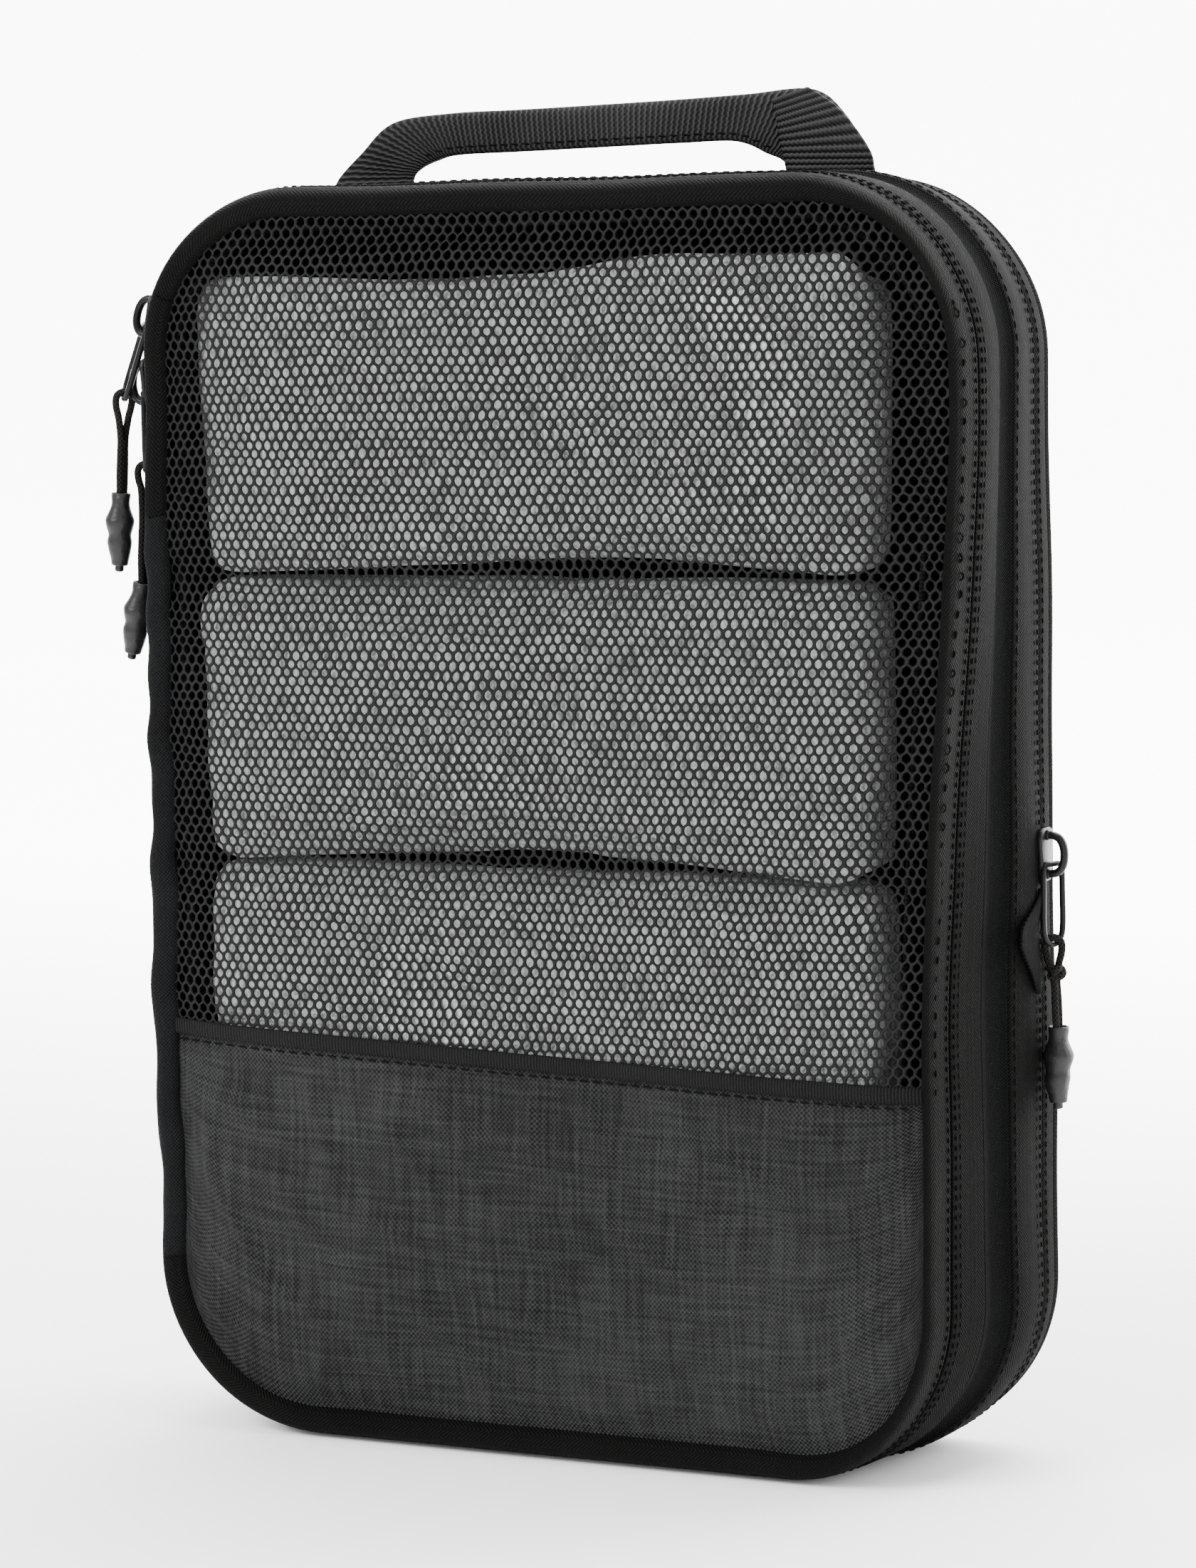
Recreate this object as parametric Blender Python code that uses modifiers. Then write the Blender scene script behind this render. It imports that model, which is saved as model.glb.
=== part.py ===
"""Compression packing cube: a zipped fabric box with a mesh lid, a second zip that lets the back
grow, a webbing handle and three cord zip pulls, holding four folded garments.

Metres, +Z up. The cube stands on its bottom edge, front towards -Y. Every ring of fabric is a
profile swept along one rounded-rectangle rim. A profile point is (out, y): out is the distance
beyond the rim, negative towards the inside, and y is the world depth.
"""

import math

import bmesh
import bpy
from mathutils import Matrix, Vector

MM = 0.001
GAP = 0.3 * MM

# Driving sizes
WIDTH = 240 * MM
HEIGHT = 338 * MM
CORNER_R = 48 * MM
HALF_DEPTH = 38 * MM
CLOTH = 1.2 * MM
CORNER_STEPS = 8

# Depth of each seam, front to back
CROWN_FRONT = 7.5 * MM
Y_RIM = -HALF_DEPTH + CROWN_FRONT
Y_ZIP = Y_RIM + 9.0 * MM
HALF_SLOT = 0.6 * MM
TAPE_W = 13.5 * MM
Y_GUSSET = Y_ZIP + HALF_SLOT + TAPE_W + GAP
GUSSET_W = 9.7 * MM
Y_COMP_TAPE = Y_GUSSET + GUSSET_W + GAP
COMP_TAPE_W = 16.0 * MM
Y_COMP_ZIP = Y_COMP_TAPE + COMP_TAPE_W + HALF_SLOT
BACK_TAPE_W = 4.8 * MM
PIPING_R = 2.5 * MM
HANDLE_SLOT = 2.2 * MM
Y_PIPING = Y_COMP_ZIP + HALF_SLOT + BACK_TAPE_W + HANDLE_SLOT + PIPING_R
FLOOR_LIFT = 0.5 * MM

# Front panel
RIM_IN = 8.0 * MM
PANEL_T = 1.0 * MM
SEAM_Z = 104.7 * MM
SEAM_STRIP_H = 4.0 * MM
SEAM_TILT = math.radians(1.8)

# Zip chain and sliders
COIL_R = 1.0 * MM
COIL_OFFSET = 1.5 * MM
COIL_DEEP = CLOTH + 2 * GAP + COIL_R
SLIDER_L = 14.0 * MM
SLIDER_W = 9.0 * MM
SLIDER_T = 1.5 * MM
INNER_PLATE_DEEP = 4.6 * MM
INNER_PLATE_L = 10.0 * MM
BRIDGE_R = 0.9 * MM
BRIDGE_H = 4.3 * MM
WIRE_R = 0.8 * MM
PULLER_L = 22.0 * MM
PULLER_HALF_W = 3.5 * MM
PIVOT_OUT = 3.1 * MM
WRAP_GAP = 0.25 * MM
PIVOT_DROP = 2.5 * MM

# Pull cords
CORD_R = 1.0 * MM
TIP_L = 21.0 * MM
TIP_PROFILE = ((0.0, 2.5), (0.12, 2.6), (0.30, 3.6), (0.48, 3.3), (0.66, 2.7), (0.9, 2.3))

# Where the zip ends lie on the left side
HINGE_TOP_Z = 250.0 * MM
HINGE_ARC = 26.0

# Slider stations
UPPER_SLIDER_TURN = math.radians(16.0)
LOWER_SLIDER_Z = 286.0 * MM
COMP_SLIDER_Z = 160.5 * MM
UPPER_PULL_TILT = math.radians(21.0)

# Handle
WEBBING_W = 25.0 * MM
WEBBING_T = 1.6 * MM
HANDLE_X = (-76.0 * MM, 61.0 * MM)
HANDLE_GAP = 8.0 * MM
HANDLE_DEPTH = 11.6 * MM
HANDLE_FOLD_Z = HEIGHT + 1.0 * MM
HANDLE_Y = Y_PIPING - PIPING_R - HANDLE_SLOT / 2

# Garments
GARMENT_HALF_W = 98.0 * MM
GARMENT_X = -6.0 * MM
GARMENT_Y = (-31.8 * MM, 2.5 * MM)
GARMENT_SPLITS = (28.0 * MM, 88.0 * MM, 157.0 * MM, 235.0 * MM, 314.0 * MM)

COLOURS = {
    "tape": ((0.020, 0.019, 0.018), 0.75, 0.0),
    "fabric": ((0.022, 0.023, 0.026), 0.80, 0.0),
    "mesh": ((0.016, 0.016, 0.017), 0.70, 0.0),
    "coil": ((0.012, 0.012, 0.012), 0.40, 0.0),
    "piping": ((0.026, 0.023, 0.020), 0.80, 0.0),
    "webbing": ((0.024, 0.024, 0.025), 0.70, 0.0),
    "stitch": ((0.030, 0.030, 0.031), 0.80, 0.0),
    "metal": ((0.010, 0.010, 0.011), 0.20, 0.6),
    "cord": ((0.022, 0.020, 0.018), 0.80, 0.0),
    "sleeve": ((0.028, 0.028, 0.030), 0.45, 0.0),
    "garment": ((0.420, 0.430, 0.440), 0.90, 0.0),
}


def clear_scene():
    for obj in list(bpy.data.objects):
        bpy.data.objects.remove(obj, do_unlink=True)


def collection(name):
    made = bpy.data.collections.new(name)
    bpy.context.scene.collection.children.link(made)
    return made


def material(name):
    found = bpy.data.materials.get(name)
    if found:
        return found
    colour, roughness, metallic = COLOURS[name]
    made = bpy.data.materials.new(name)
    made.use_nodes = True
    shader = made.node_tree.nodes["Principled BSDF"]
    shader.inputs["Base Color"].default_value = (*colour, 1.0)
    shader.inputs["Roughness"].default_value = roughness
    shader.inputs["Metallic"].default_value = metallic
    made.diffuse_color = (*colour, 1.0)
    return made


def add(name, data, look):
    obj = bpy.data.objects.new(name, data)
    PARTS.objects.link(obj)
    data.materials.append(material(look))
    return obj


def add_guide(name, data):
    obj = bpy.data.objects.new(name, data)
    GUIDES.objects.link(obj)
    obj.hide_render = True
    obj.display_type = "WIRE"
    return obj


# The rim


def rim_point(turn, centre_side, out=0.0):
    """A point (x, z) on the rim. turn is 0 on the left side, 90 on top, 180 right, 270 at the bottom."""
    index = centre_side % 4
    side = -1 if index in (0, 3) else 1
    level = 1 if index in (0, 1) else -1
    centre_x = side * (WIDTH / 2 - CORNER_R)
    centre_z = HEIGHT / 2 + level * (HEIGHT / 2 - CORNER_R)
    angle = math.radians(turn)
    reach = CORNER_R + out
    return centre_x - reach * math.cos(angle), centre_z + reach * math.sin(angle)


def rim_path(first=0.0, last=360.0, start_z=None, end_z=None, out=0.0):
    """Points clockwise from the left side, seen from the front. start_z and end_z add a stretch of left side."""
    path = []
    if start_z is not None:
        path.append((-WIDTH / 2 - out, start_z))
        if first >= 360.0:
            return path + [(-WIDTH / 2 - out, end_z)]
    for corner in range(4):
        low = max(first, corner * 90.0)
        high = min(last, corner * 90.0 + 90.0)
        if high - low < 1e-6:
            continue
        step = 90.0 / CORNER_STEPS
        turns = [corner * 90.0 + k * step for k in range(CORNER_STEPS + 1)]
        turns = [low] + [t for t in turns if low + 2.0 < t < high - 2.0] + [high]
        if low > corner * 90.0:
            turns.insert(1, low + 1.0)
        if high < corner * 90.0 + 90.0:
            turns.insert(-1, high - 1.0)
        path += [rim_point(turn, corner, out) for turn in turns]
    if end_z is not None:
        path.append((-WIDTH / 2 - out, end_z))
    return path


def poly_spline(curve, points, cyclic):
    spline = curve.splines.new("POLY")
    spline.points.add(len(points) - 1)
    for point, place in zip(spline.points, points):
        point.co = (*place, 1.0)
    spline.use_cyclic_u = cyclic


def ring(name, profile, look, closed=True, **stretch):
    """A profile of (out, y) points swept along the rim."""
    loop = [(-out, -y, 0.0) for out, y in profile]
    area = sum(a[0] * b[1] - b[0] * a[1] for a, b in zip(loop, loop[1:] + loop[:1]))
    if area > 0:
        loop.reverse()
    shape = bpy.data.curves.new(name + "_profile", "CURVE")
    shape.dimensions = "2D"
    poly_spline(shape, loop, True)
    guide = add_guide(name + "_profile", shape)
    path = bpy.data.curves.new(name, "CURVE")
    path.dimensions = "2D"
    path.fill_mode = "NONE"
    poly_spline(path, [(x, z, 0.0) for x, z in rim_path(**stretch)], closed)
    path.bevel_mode = "OBJECT"
    path.bevel_object = guide
    path.use_fill_caps = not closed
    obj = add(name, path, look)
    obj.rotation_euler = (math.pi / 2, 0, 0)
    return obj


def band(outer, thickness=CLOTH):
    """A closed profile of one cloth thickness from its outer edge points, front to back."""
    inner = []
    for k, (out, y) in enumerate(outer):
        before = Vector(outer[max(k - 1, 0)])
        after = Vector(outer[min(k + 1, len(outer) - 1)])
        run = (after - before).normalized()
        inner.append((out - run.y * thickness, y + run.x * thickness))
    return list(outer) + inner[::-1]


def circle(out, y, radius, sides=8):
    turns = [2 * math.pi * k / sides for k in range(sides)]
    return [(out + radius * math.cos(t), y + radius * math.sin(t)) for t in turns]


FRONT_ROLL = (
    (-RIM_IN, Y_RIM),
    (-RIM_IN + 2.2 * MM, Y_RIM - 1.6 * MM),
    (-3.6 * MM, Y_RIM - 1.2 * MM),
    (-1.2 * MM, Y_RIM + 1.2 * MM),
    (-0.4 * MM, Y_RIM + 4.0 * MM),
)


def main_zip():
    front_edge = (-0.3 * MM, Y_ZIP - HALF_SLOT)
    roll = band(FRONT_ROLL + (front_edge,))
    left_stretch = dict(closed=False, start_z=HINGE_TOP_Z + GAP, last=HINGE_ARC)
    chain_foot = CORNER_R + 0.7 * MM
    lid_run = dict(closed=False, first=HINGE_ARC + 0.4, end_z=chain_foot)
    base_run = dict(closed=False, start_z=HINGE_TOP_Z + GAP, end_z=chain_foot)
    ring("front_main_tape", roll, "tape", **lid_run)
    ring("hinge_side_main_tape", roll, "tape", **left_stretch)
    rear_tape = (
        (-0.3 * MM, Y_ZIP + HALF_SLOT),
        (0.0, Y_ZIP + 4 * MM),
        (0.0, Y_GUSSET - GAP),
    )
    ring("rear_main_tape", band(rear_tape), "tape", **base_run)
    front_coil = circle(-COIL_DEEP, Y_ZIP - COIL_OFFSET, COIL_R)
    rear_coil = circle(-COIL_DEEP, Y_ZIP + COIL_OFFSET, COIL_R)
    ring("front_main_coil", front_coil, "coil", **lid_run)
    ring("hinge_side_main_coil", front_coil, "coil", **left_stretch)
    ring("rear_main_coil", rear_coil, "coil", **base_run)
    hinge = FRONT_ROLL + ((-0.3 * MM, Y_ZIP), (-0.1 * MM, Y_GUSSET - GAP))
    ring("hinge_panel", band(hinge), "fabric", closed=False, first=360.0, start_z=chain_foot + GAP, end_z=HINGE_TOP_Z)


def side_walls():
    gusset = ((0.0, Y_GUSSET), (-0.6 * MM, Y_GUSSET + GUSSET_W / 2), (0.0, Y_GUSSET + GUSSET_W))
    ring("side_gusset", band(gusset), "fabric")
    front = ((0.0, Y_COMP_TAPE), (0.0, Y_COMP_TAPE + COMP_TAPE_W / 2), (0.0, Y_COMP_ZIP - HALF_SLOT))
    ring("front_compression_tape", band(front), "tape")
    ring("front_compression_coil", circle(-COIL_DEEP, Y_COMP_ZIP - COIL_OFFSET, COIL_R), "coil")
    rear = ((-FLOOR_LIFT, Y_COMP_ZIP + HALF_SLOT), (-FLOOR_LIFT, Y_COMP_ZIP + HALF_SLOT + BACK_TAPE_W))
    ring("rear_compression_tape", band(rear), "tape")
    ring("rear_compression_coil", circle(-COIL_DEEP, Y_COMP_ZIP + COIL_OFFSET, COIL_R), "coil")
    ring("back_piping", circle(-PIPING_R - FLOOR_LIFT, Y_PIPING, PIPING_R, 10), "piping")


def inner_layers():
    """The bound seam allowances inside, and the pleated fabric that the compression zip gathers."""
    fin = 6.0 * MM
    root = CLOTH + GAP
    thick = 1.4 * MM
    for name, y in (("front_seam_binding", Y_GUSSET), ("rear_seam_binding", Y_COMP_TAPE)):
        box = ((-root, y - thick / 2), (-root, y + thick / 2), (-root - fin, y + thick / 2), (-root - fin, y - thick / 2))
        ring(name, box, "piping")
    lid_root = RIM_IN + 2.5 * MM
    lid_front = Y_RIM + PANEL_T + 0.3 * MM
    lid_box = (
        (-lid_root, lid_front),
        (-lid_root, lid_front + 4 * MM),
        (-lid_root - thick, lid_front + 4 * MM),
        (-lid_root - thick, lid_front),
    )
    ring("lid_seam_binding", lid_box, "piping")
    start = Y_COMP_TAPE + 2.2 * MM
    pleat = (
        (-2.0 * MM, start),
        (-6.5 * MM, start + 4.0 * MM),
        (-17.0 * MM, start + 7.0 * MM),
        (-17.0 * MM, start + 10.5 * MM),
        (-7.5 * MM, start + 12.5 * MM),
        (-6.6 * MM, Y_PIPING - 2.0 * MM),
    )
    ring("expansion_gusset", band(pleat, 0.8 * MM), "fabric")


# Panels


def crowned_panel(name, out, y_edge, crown, thickness, look):
    """A shell with the rim's outline that domes by crown towards its middle."""
    outline = rim_path(out=out)
    levels = (1.0, 0.94, 0.84, 0.66, 0.4)
    mesh = bpy.data.meshes.new(name)
    bm = bmesh.new()
    rows = []
    for level in levels:
        y = y_edge + crown * (1 - level**3) ** 0.8
        row = []
        for x, z in outline:
            row.append(bm.verts.new((x * level, y, HEIGHT / 2 + (z - HEIGHT / 2) * level)))
        rows.append(row)
    middle = bm.verts.new((0, y_edge + crown, HEIGHT / 2))
    count = len(outline)
    for outer, inner in zip(rows, rows[1:]):
        for k in range(count):
            bm.faces.new((outer[k], outer[(k + 1) % count], inner[(k + 1) % count], inner[k]))
    for k in range(count):
        bm.faces.new((rows[-1][k], rows[-1][(k + 1) % count], middle))
    bmesh.ops.remove_doubles(bm, verts=bm.verts, dist=1e-6)
    bmesh.ops.recalc_face_normals(bm, faces=bm.faces)
    bm.to_mesh(mesh)
    bm.free()
    obj = add(name, mesh, look)
    solid = obj.modifiers.new("thickness", "SOLIDIFY")
    solid.thickness = thickness
    solid.offset = 0
    return obj


def box_cutter(name, low, high):
    mesh = bpy.data.meshes.new(name)
    bm = bmesh.new()
    bmesh.ops.create_cube(bm, size=1.0)
    size = Vector(high) - Vector(low)
    centre = (Vector(high) + Vector(low)) / 2
    bmesh.ops.scale(bm, vec=size, verts=bm.verts)
    bmesh.ops.translate(bm, vec=centre, verts=bm.verts)
    bm.to_mesh(mesh)
    bm.free()
    return add_guide(name, mesh)


def keep_inside(obj, cutter):
    cut = obj.modifiers.new("cut", "BOOLEAN")
    cut.operation = "INTERSECT"
    cut.object = cutter


def join(obj, other):
    merge = obj.modifiers.new("join", "BOOLEAN")
    merge.operation = "UNION"
    merge.object = other


def lid_panels():
    reach = WIDTH
    bands = (
        ("lower_front_panel", "fabric", -reach, SEAM_Z - GAP),
        ("panel_seam_strip", "stitch", SEAM_Z, SEAM_Z + SEAM_STRIP_H),
        ("mesh_window", "mesh", SEAM_Z + SEAM_STRIP_H + GAP, HEIGHT + reach),
    )
    for name, look, low, high in bands:
        panel = crowned_panel(name, -RIM_IN - GAP, Y_RIM, -CROWN_FRONT + PANEL_T / 2, PANEL_T, look)
        cutter = box_cutter(name + "_cutter", (-reach, -reach, low - SEAM_Z), (reach, reach, high - SEAM_Z))
        cutter.matrix_world = Matrix.Translation((0, 0, SEAM_Z)) @ Matrix.Rotation(SEAM_TILT, 4, "Y")
        keep_inside(panel, cutter)


def back_panel():
    out = -2 * PIPING_R - FLOOR_LIFT - GAP
    crowned_panel("back_panel", out, Y_PIPING, HALF_DEPTH - Y_PIPING - PANEL_T / 2, PANEL_T, "fabric")


# Sliders and pulls


def to_mesh(obj):
    """The curve object as a welded mesh object in the guides' collection."""
    bpy.context.view_layer.update()
    mesh = bpy.data.meshes.new_from_object(obj.evaluated_get(bpy.context.evaluated_depsgraph_get()))
    bm = bmesh.new()
    bm.from_mesh(mesh)
    bmesh.ops.remove_doubles(bm, verts=bm.verts, dist=1e-6)
    bm.to_mesh(mesh)
    bm.free()
    made = add_guide(obj.name + "_solid", mesh)
    made.matrix_world = obj.matrix_world.copy()
    bpy.data.objects.remove(obj, do_unlink=True)
    return made


def tube(name, points, radius, look, cyclic=False, resolution=2):
    curve = bpy.data.curves.new(name, "CURVE")
    curve.dimensions = "3D"
    poly_spline(curve, points, cyclic)
    curve.bevel_depth = radius
    curve.bevel_resolution = resolution
    curve.use_fill_caps = not cyclic
    return add(name, curve, look)


def station(out_dir, y, z, drop=0.0, tilt=0.0):
    """A local frame on a side wall: local +Z points out of the wall and local +X up along the zip."""
    out_axis = Vector((out_dir, 0, 0))
    up_axis = Vector((0, 0, 1))
    across = out_axis.cross(up_axis)
    frame = Matrix((up_axis, across, out_axis)).transposed().to_4x4()
    place = Matrix.Translation((out_dir * WIDTH / 2, y, z)) @ frame
    return place @ Matrix.Translation((-drop, 0, 0)) @ Matrix.Rotation(tilt, 4, "Y")


def slider_body(name, place):
    """Two plates held by a neck that runs in the slot between the tapes, with a bridge over the top."""
    plate = box_cutter(name + "_inner_plate", (-INNER_PLATE_L / 2, -SLIDER_W / 2, -INNER_PLATE_DEEP - 1.2 * MM),
                       (INNER_PLATE_L / 2, SLIDER_W / 2, -INNER_PLATE_DEEP))
    neck_half = 0.3 * MM
    neck = box_cutter(name + "_neck", (-2 * MM, -neck_half, -INNER_PLATE_DEEP - 0.6 * MM),
                      (2 * MM, neck_half, GAP + SLIDER_T / 2))
    rise = GAP + SLIDER_T / 2
    arch = []
    for k in range(9):
        turn = math.pi * k / 8
        arch.append((-5.2 * MM * math.cos(turn), 0.0, rise + BRIDGE_H * math.sin(turn) ** 0.7))
    bridge = to_mesh(tube(name + "_bridge", arch, BRIDGE_R, "metal"))
    mesh = bpy.data.meshes.new(name)
    bm = bmesh.new()
    bmesh.ops.create_cube(bm, size=1.0)
    bmesh.ops.scale(bm, vec=(SLIDER_L, SLIDER_W, SLIDER_T), verts=bm.verts)
    bmesh.ops.translate(bm, vec=(0, 0, GAP + SLIDER_T / 2), verts=bm.verts)
    upright = [e for e in bm.edges if abs(e.verts[0].co.z - e.verts[1].co.z) > SLIDER_T / 2]
    bmesh.ops.bevel(bm, geom=upright, offset=2.0 * MM, segments=3, affect="EDGES", profile=0.5)
    bm.to_mesh(mesh)
    bm.free()
    body = add(name, mesh, "metal")
    for other in (plate, neck, bridge):
        other.matrix_world = place @ other.matrix_world
        join(body, other)
    body.matrix_world = place
    return body


def puller_points():
    """The wire loop's centre line, in its pivot's frame: it hangs along local -X."""
    half = PULLER_HALF_W
    reach = PULLER_L - WIRE_R
    top = 1.2 * MM
    points = []
    for k in range(7):
        turn = math.pi * k / 6
        points.append((-reach + half - half * math.sin(turn), -half * math.cos(turn), 0.0))
    for y, sign in ((half, 1), (half - top, 0), (-half + top, 0), (-half, 1)):
        points.append((-top * sign, y, 0.0))
    return points


def cord_points(length, lift):
    """One cord doubled over the loop's foot: up one side, round the wire and down the other."""
    wrap = WIRE_R + WRAP_GAP + CORD_R
    side = CORD_R + 0.15 * MM
    foot = -PULLER_L + WIRE_R
    low = foot - length
    return [
        (low, -side, lift),
        (low + 0.35 * length, -side, lift * 0.7),
        (foot - 0.45 * length, -side, lift * 0.4),
        (foot - 4.5 * MM, -side, 0.6 * MM),
        (foot - 2.2 * MM, -side, 1.6 * MM),
        (foot, -side * 0.9, wrap),
        (foot + wrap * 0.72, -side * 0.5, wrap * 0.72),
        (foot + wrap, 0.0, 0.0),
        (foot + wrap * 0.72, side * 0.5, -wrap * 0.72),
        (foot, side * 0.9, -wrap),
        (foot - 2.2 * MM, side, -1.6 * MM),
        (foot - 4.5 * MM, side, -0.4 * MM),
        (foot - 0.45 * length, side, lift * 0.4),
        (low + 0.35 * length, side, lift * 0.7),
        (low, side, lift),
    ]


def smooth(points, per_span=2):
    """Points on a Catmull-Rom curve through the route."""
    route = [Vector(p) for p in points]
    out = []
    for k in range(len(route) - 1):
        a, b = route[max(k - 1, 0)], route[k]
        c, d = route[k + 1], route[min(k + 2, len(route) - 1)]
        for step in range(per_span):
            t = step / per_span
            out.append(0.5 * (2 * b + (c - a) * t + (2 * a - 5 * b + 4 * c - d) * t**2
                              + (3 * b - a - 3 * c + d) * t**3))
    out.append(route[-1])
    return out


def cord_tip(name, place):
    """The shrunk sleeve on the cord's ends, turned from its outline; it hangs from local (0, 0, 0)."""
    profile = [(0.0, 0.0)] + [(radius * MM, -share * TIP_L) for share, radius in TIP_PROFILE]
    profile += [(1.4 * MM, -0.92 * TIP_L), (1.2 * MM, -TIP_L), (0.0, -TIP_L)]
    mesh = bpy.data.meshes.new(name)
    bm = bmesh.new()
    chain = [bm.verts.new((r, 0, z)) for r, z in profile]
    for a, b in zip(chain, chain[1:]):
        bm.edges.new((a, b))
    bm.to_mesh(mesh)
    bm.free()
    obj = add(name, mesh, "sleeve")
    turn = obj.modifiers.new("turn", "SCREW")
    turn.steps = 12
    turn.render_steps = 12
    turn.use_merge_vertices = True
    turn.merge_threshold = 0.0001
    obj.matrix_world = place
    return obj


def zip_pull(name, side, y, z, cord_length, lift, tip_y=0.0, tilt=0.0, turn=0.0):
    """turn carries the slider that far round the top corner; its pull still hangs straight down."""
    upright = station(side, y, z)
    corner = Matrix.Translation((side * (WIDTH / 2 - CORNER_R), y, HEIGHT - CORNER_R))
    place = corner @ Matrix.Rotation(-side * turn, 4, "Y") @ corner.inverted() @ upright
    slider_body(name + "_slider", place)
    pivot = upright.copy()
    pivot.translation = place @ Vector((-PIVOT_DROP, 0, PIVOT_OUT))
    hang = pivot @ Matrix.Rotation(tilt, 4, "Y")
    puller = tube(name + "_puller", puller_points(), WIRE_R, "metal", cyclic=True)
    puller.matrix_world = hang
    foot = PULLER_L - WIRE_R
    knee = hang @ Matrix.Translation((-foot, 0, 0)) @ Matrix.Rotation(-tilt, 4, "Y")
    route = [(x + foot, across + tip_y * min(1.0, max(0.0, -(x + foot) / cord_length)), out)
             for x, across, out in cord_points(cord_length, lift)]
    cord = tube(name + "_cord", smooth(route), CORD_R, "cord")
    cord.matrix_world = knee
    end = knee @ Matrix.Translation((-cord_length - GAP, tip_y, lift))
    cord_tip(name + "_cord_tip", end @ Matrix.Rotation(math.pi / 2, 4, "Y"))


def zip_pulls():
    corner_z = HEIGHT - CORNER_R
    zip_pull("upper_main", -1, Y_ZIP, corner_z, 26 * MM, 0.6 * MM, -1.6 * MM, UPPER_PULL_TILT, UPPER_SLIDER_TURN)
    zip_pull("lower_main", -1, Y_ZIP, LOWER_SLIDER_Z, 31 * MM, 1.0 * MM)
    zip_pull("compression", 1, Y_COMP_ZIP, COMP_SLIDER_Z, 22 * MM, 1.0 * MM)


def compression_tape_end():
    """The zip's free tape end, folded over on the slant and laid on the tape below the slider."""
    low, high = COMP_SLIDER_Z - 36 * MM, COMP_SLIDER_Z - 8.5 * MM
    edge = Y_COMP_ZIP - 3.0 * MM
    outline = ((edge, high), (edge, low), (edge - 3 * MM, low), (edge - 13 * MM, low + 14 * MM), (edge - 13 * MM, low + 17 * MM))
    curve = bpy.data.curves.new("compression_tape_end", "CURVE")
    curve.dimensions = "2D"
    curve.fill_mode = "BOTH"
    curve.extrude = 0.5 * MM
    poly_spline(curve, [(y, z, 0.0) for y, z in outline], True)
    obj = add("compression_tape_end", curve, "tape")
    obj.matrix_world = Matrix(((0, 0, 1, WIDTH / 2 + GAP + 0.5 * MM), (1, 0, 0, 0), (0, 1, 0, 0), (0, 0, 0, 1)))


# Handle


def handle_route():
    """The webbing's outer and inner edge points (x, z) and its thickness, from the left end to the right."""
    left, right = HANDLE_X
    half = WEBBING_W / 2
    low = HANDLE_FOLD_Z
    inner = HEIGHT + HANDLE_GAP
    outer = inner + HANDLE_DEPTH
    flat, double = WEBBING_T, 2.2 * WEBBING_T
    middle = (left + right) / 2
    return (
        ((left - half, low), (left + half, low), flat),
        ((left - 9.0 * MM, low + 4.5 * MM), (left + 15.5 * MM, low + 2.6 * MM), flat),
        ((left - 1.0 * MM, low + 11.0 * MM), (left + 19.0 * MM, inner - 1.0 * MM), 1.4 * flat),
        ((left + 9.0 * MM, outer - 1.2 * MM), (left + 23.0 * MM, inner - 0.3 * MM), double),
        ((left + 19.0 * MM, outer), (left + 28.0 * MM, inner), double),
        ((middle, outer + 0.5 * MM), (middle, inner + 0.5 * MM), double),
        ((right - 19.0 * MM, outer), (right - 26.0 * MM, inner), double),
        ((right - 9.5 * MM, outer - 1.4 * MM), (right - 20.0 * MM, inner - 0.4 * MM), double),
        ((right + 0.5 * MM, low + 9.5 * MM), (right - 16.0 * MM, inner - 1.6 * MM), 1.4 * flat),
        ((right + 8.5 * MM, low + 4.0 * MM), (right - 13.5 * MM, low + 2.2 * MM), flat),
        ((right + half, low), (right - half, low), flat),
    )


def handle():
    """A loft of rectangles: flat at the sewn ends, folded in half between them."""
    mesh = bpy.data.meshes.new("handle_webbing")
    bm = bmesh.new()
    sections = []
    for outer, inner, thick in handle_route():
        row = []
        for (x, z), y in ((outer, -thick / 2), (outer, thick / 2), (inner, thick / 2), (inner, -thick / 2)):
            row.append(bm.verts.new((x, y, z - HANDLE_FOLD_Z)))
        sections.append(row)
    for one, two in zip(sections, sections[1:]):
        for k in range(4):
            bm.faces.new((one[k], one[(k + 1) % 4], two[(k + 1) % 4], two[k]))
    bm.faces.new(sections[0])
    bm.faces.new(sections[-1][::-1])
    bmesh.ops.triangulate(bm, faces=bm.faces)
    bmesh.ops.recalc_face_normals(bm, faces=bm.faces)
    bm.to_mesh(mesh)
    bm.free()
    obj = add("handle_webbing", mesh, "webbing")
    obj.location = (0, HANDLE_Y, HANDLE_FOLD_Z)
    for name, x in zip(("handle_left_end", "handle_right_end"), HANDLE_X):
        tab = box_cutter(name, (x - WEBBING_W / 2, HANDLE_Y - WEBBING_T / 2, HEIGHT - 5 * MM),
                         (x + WEBBING_W / 2, HANDLE_Y + WEBBING_T / 2, HEIGHT - 0.1 * MM)).data
        bpy.data.objects.remove(bpy.data.objects[name])
        add(name, tab, "webbing")


# Garments


def garments():
    names = ("bottom_garment", "lower_garment", "middle_garment", "top_garment")
    for name, low, high in zip(names, GARMENT_SPLITS, GARMENT_SPLITS[1:]):
        mesh = bpy.data.meshes.new(name)
        bm = bmesh.new()
        bmesh.ops.create_cube(bm, size=1.0)
        size = (2 * GARMENT_HALF_W, GARMENT_Y[1] - GARMENT_Y[0], high - low - 2 * GAP)
        bmesh.ops.scale(bm, vec=size, verts=bm.verts)
        bmesh.ops.bevel(bm, geom=list(bm.edges), offset=11.5 * MM, segments=3, affect="EDGES", profile=0.5)
        bm.to_mesh(mesh)
        bm.free()
        obj = add(name, mesh, "garment")
        obj.location = (GARMENT_X, sum(GARMENT_Y) / 2, (low + high) / 2)


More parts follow.
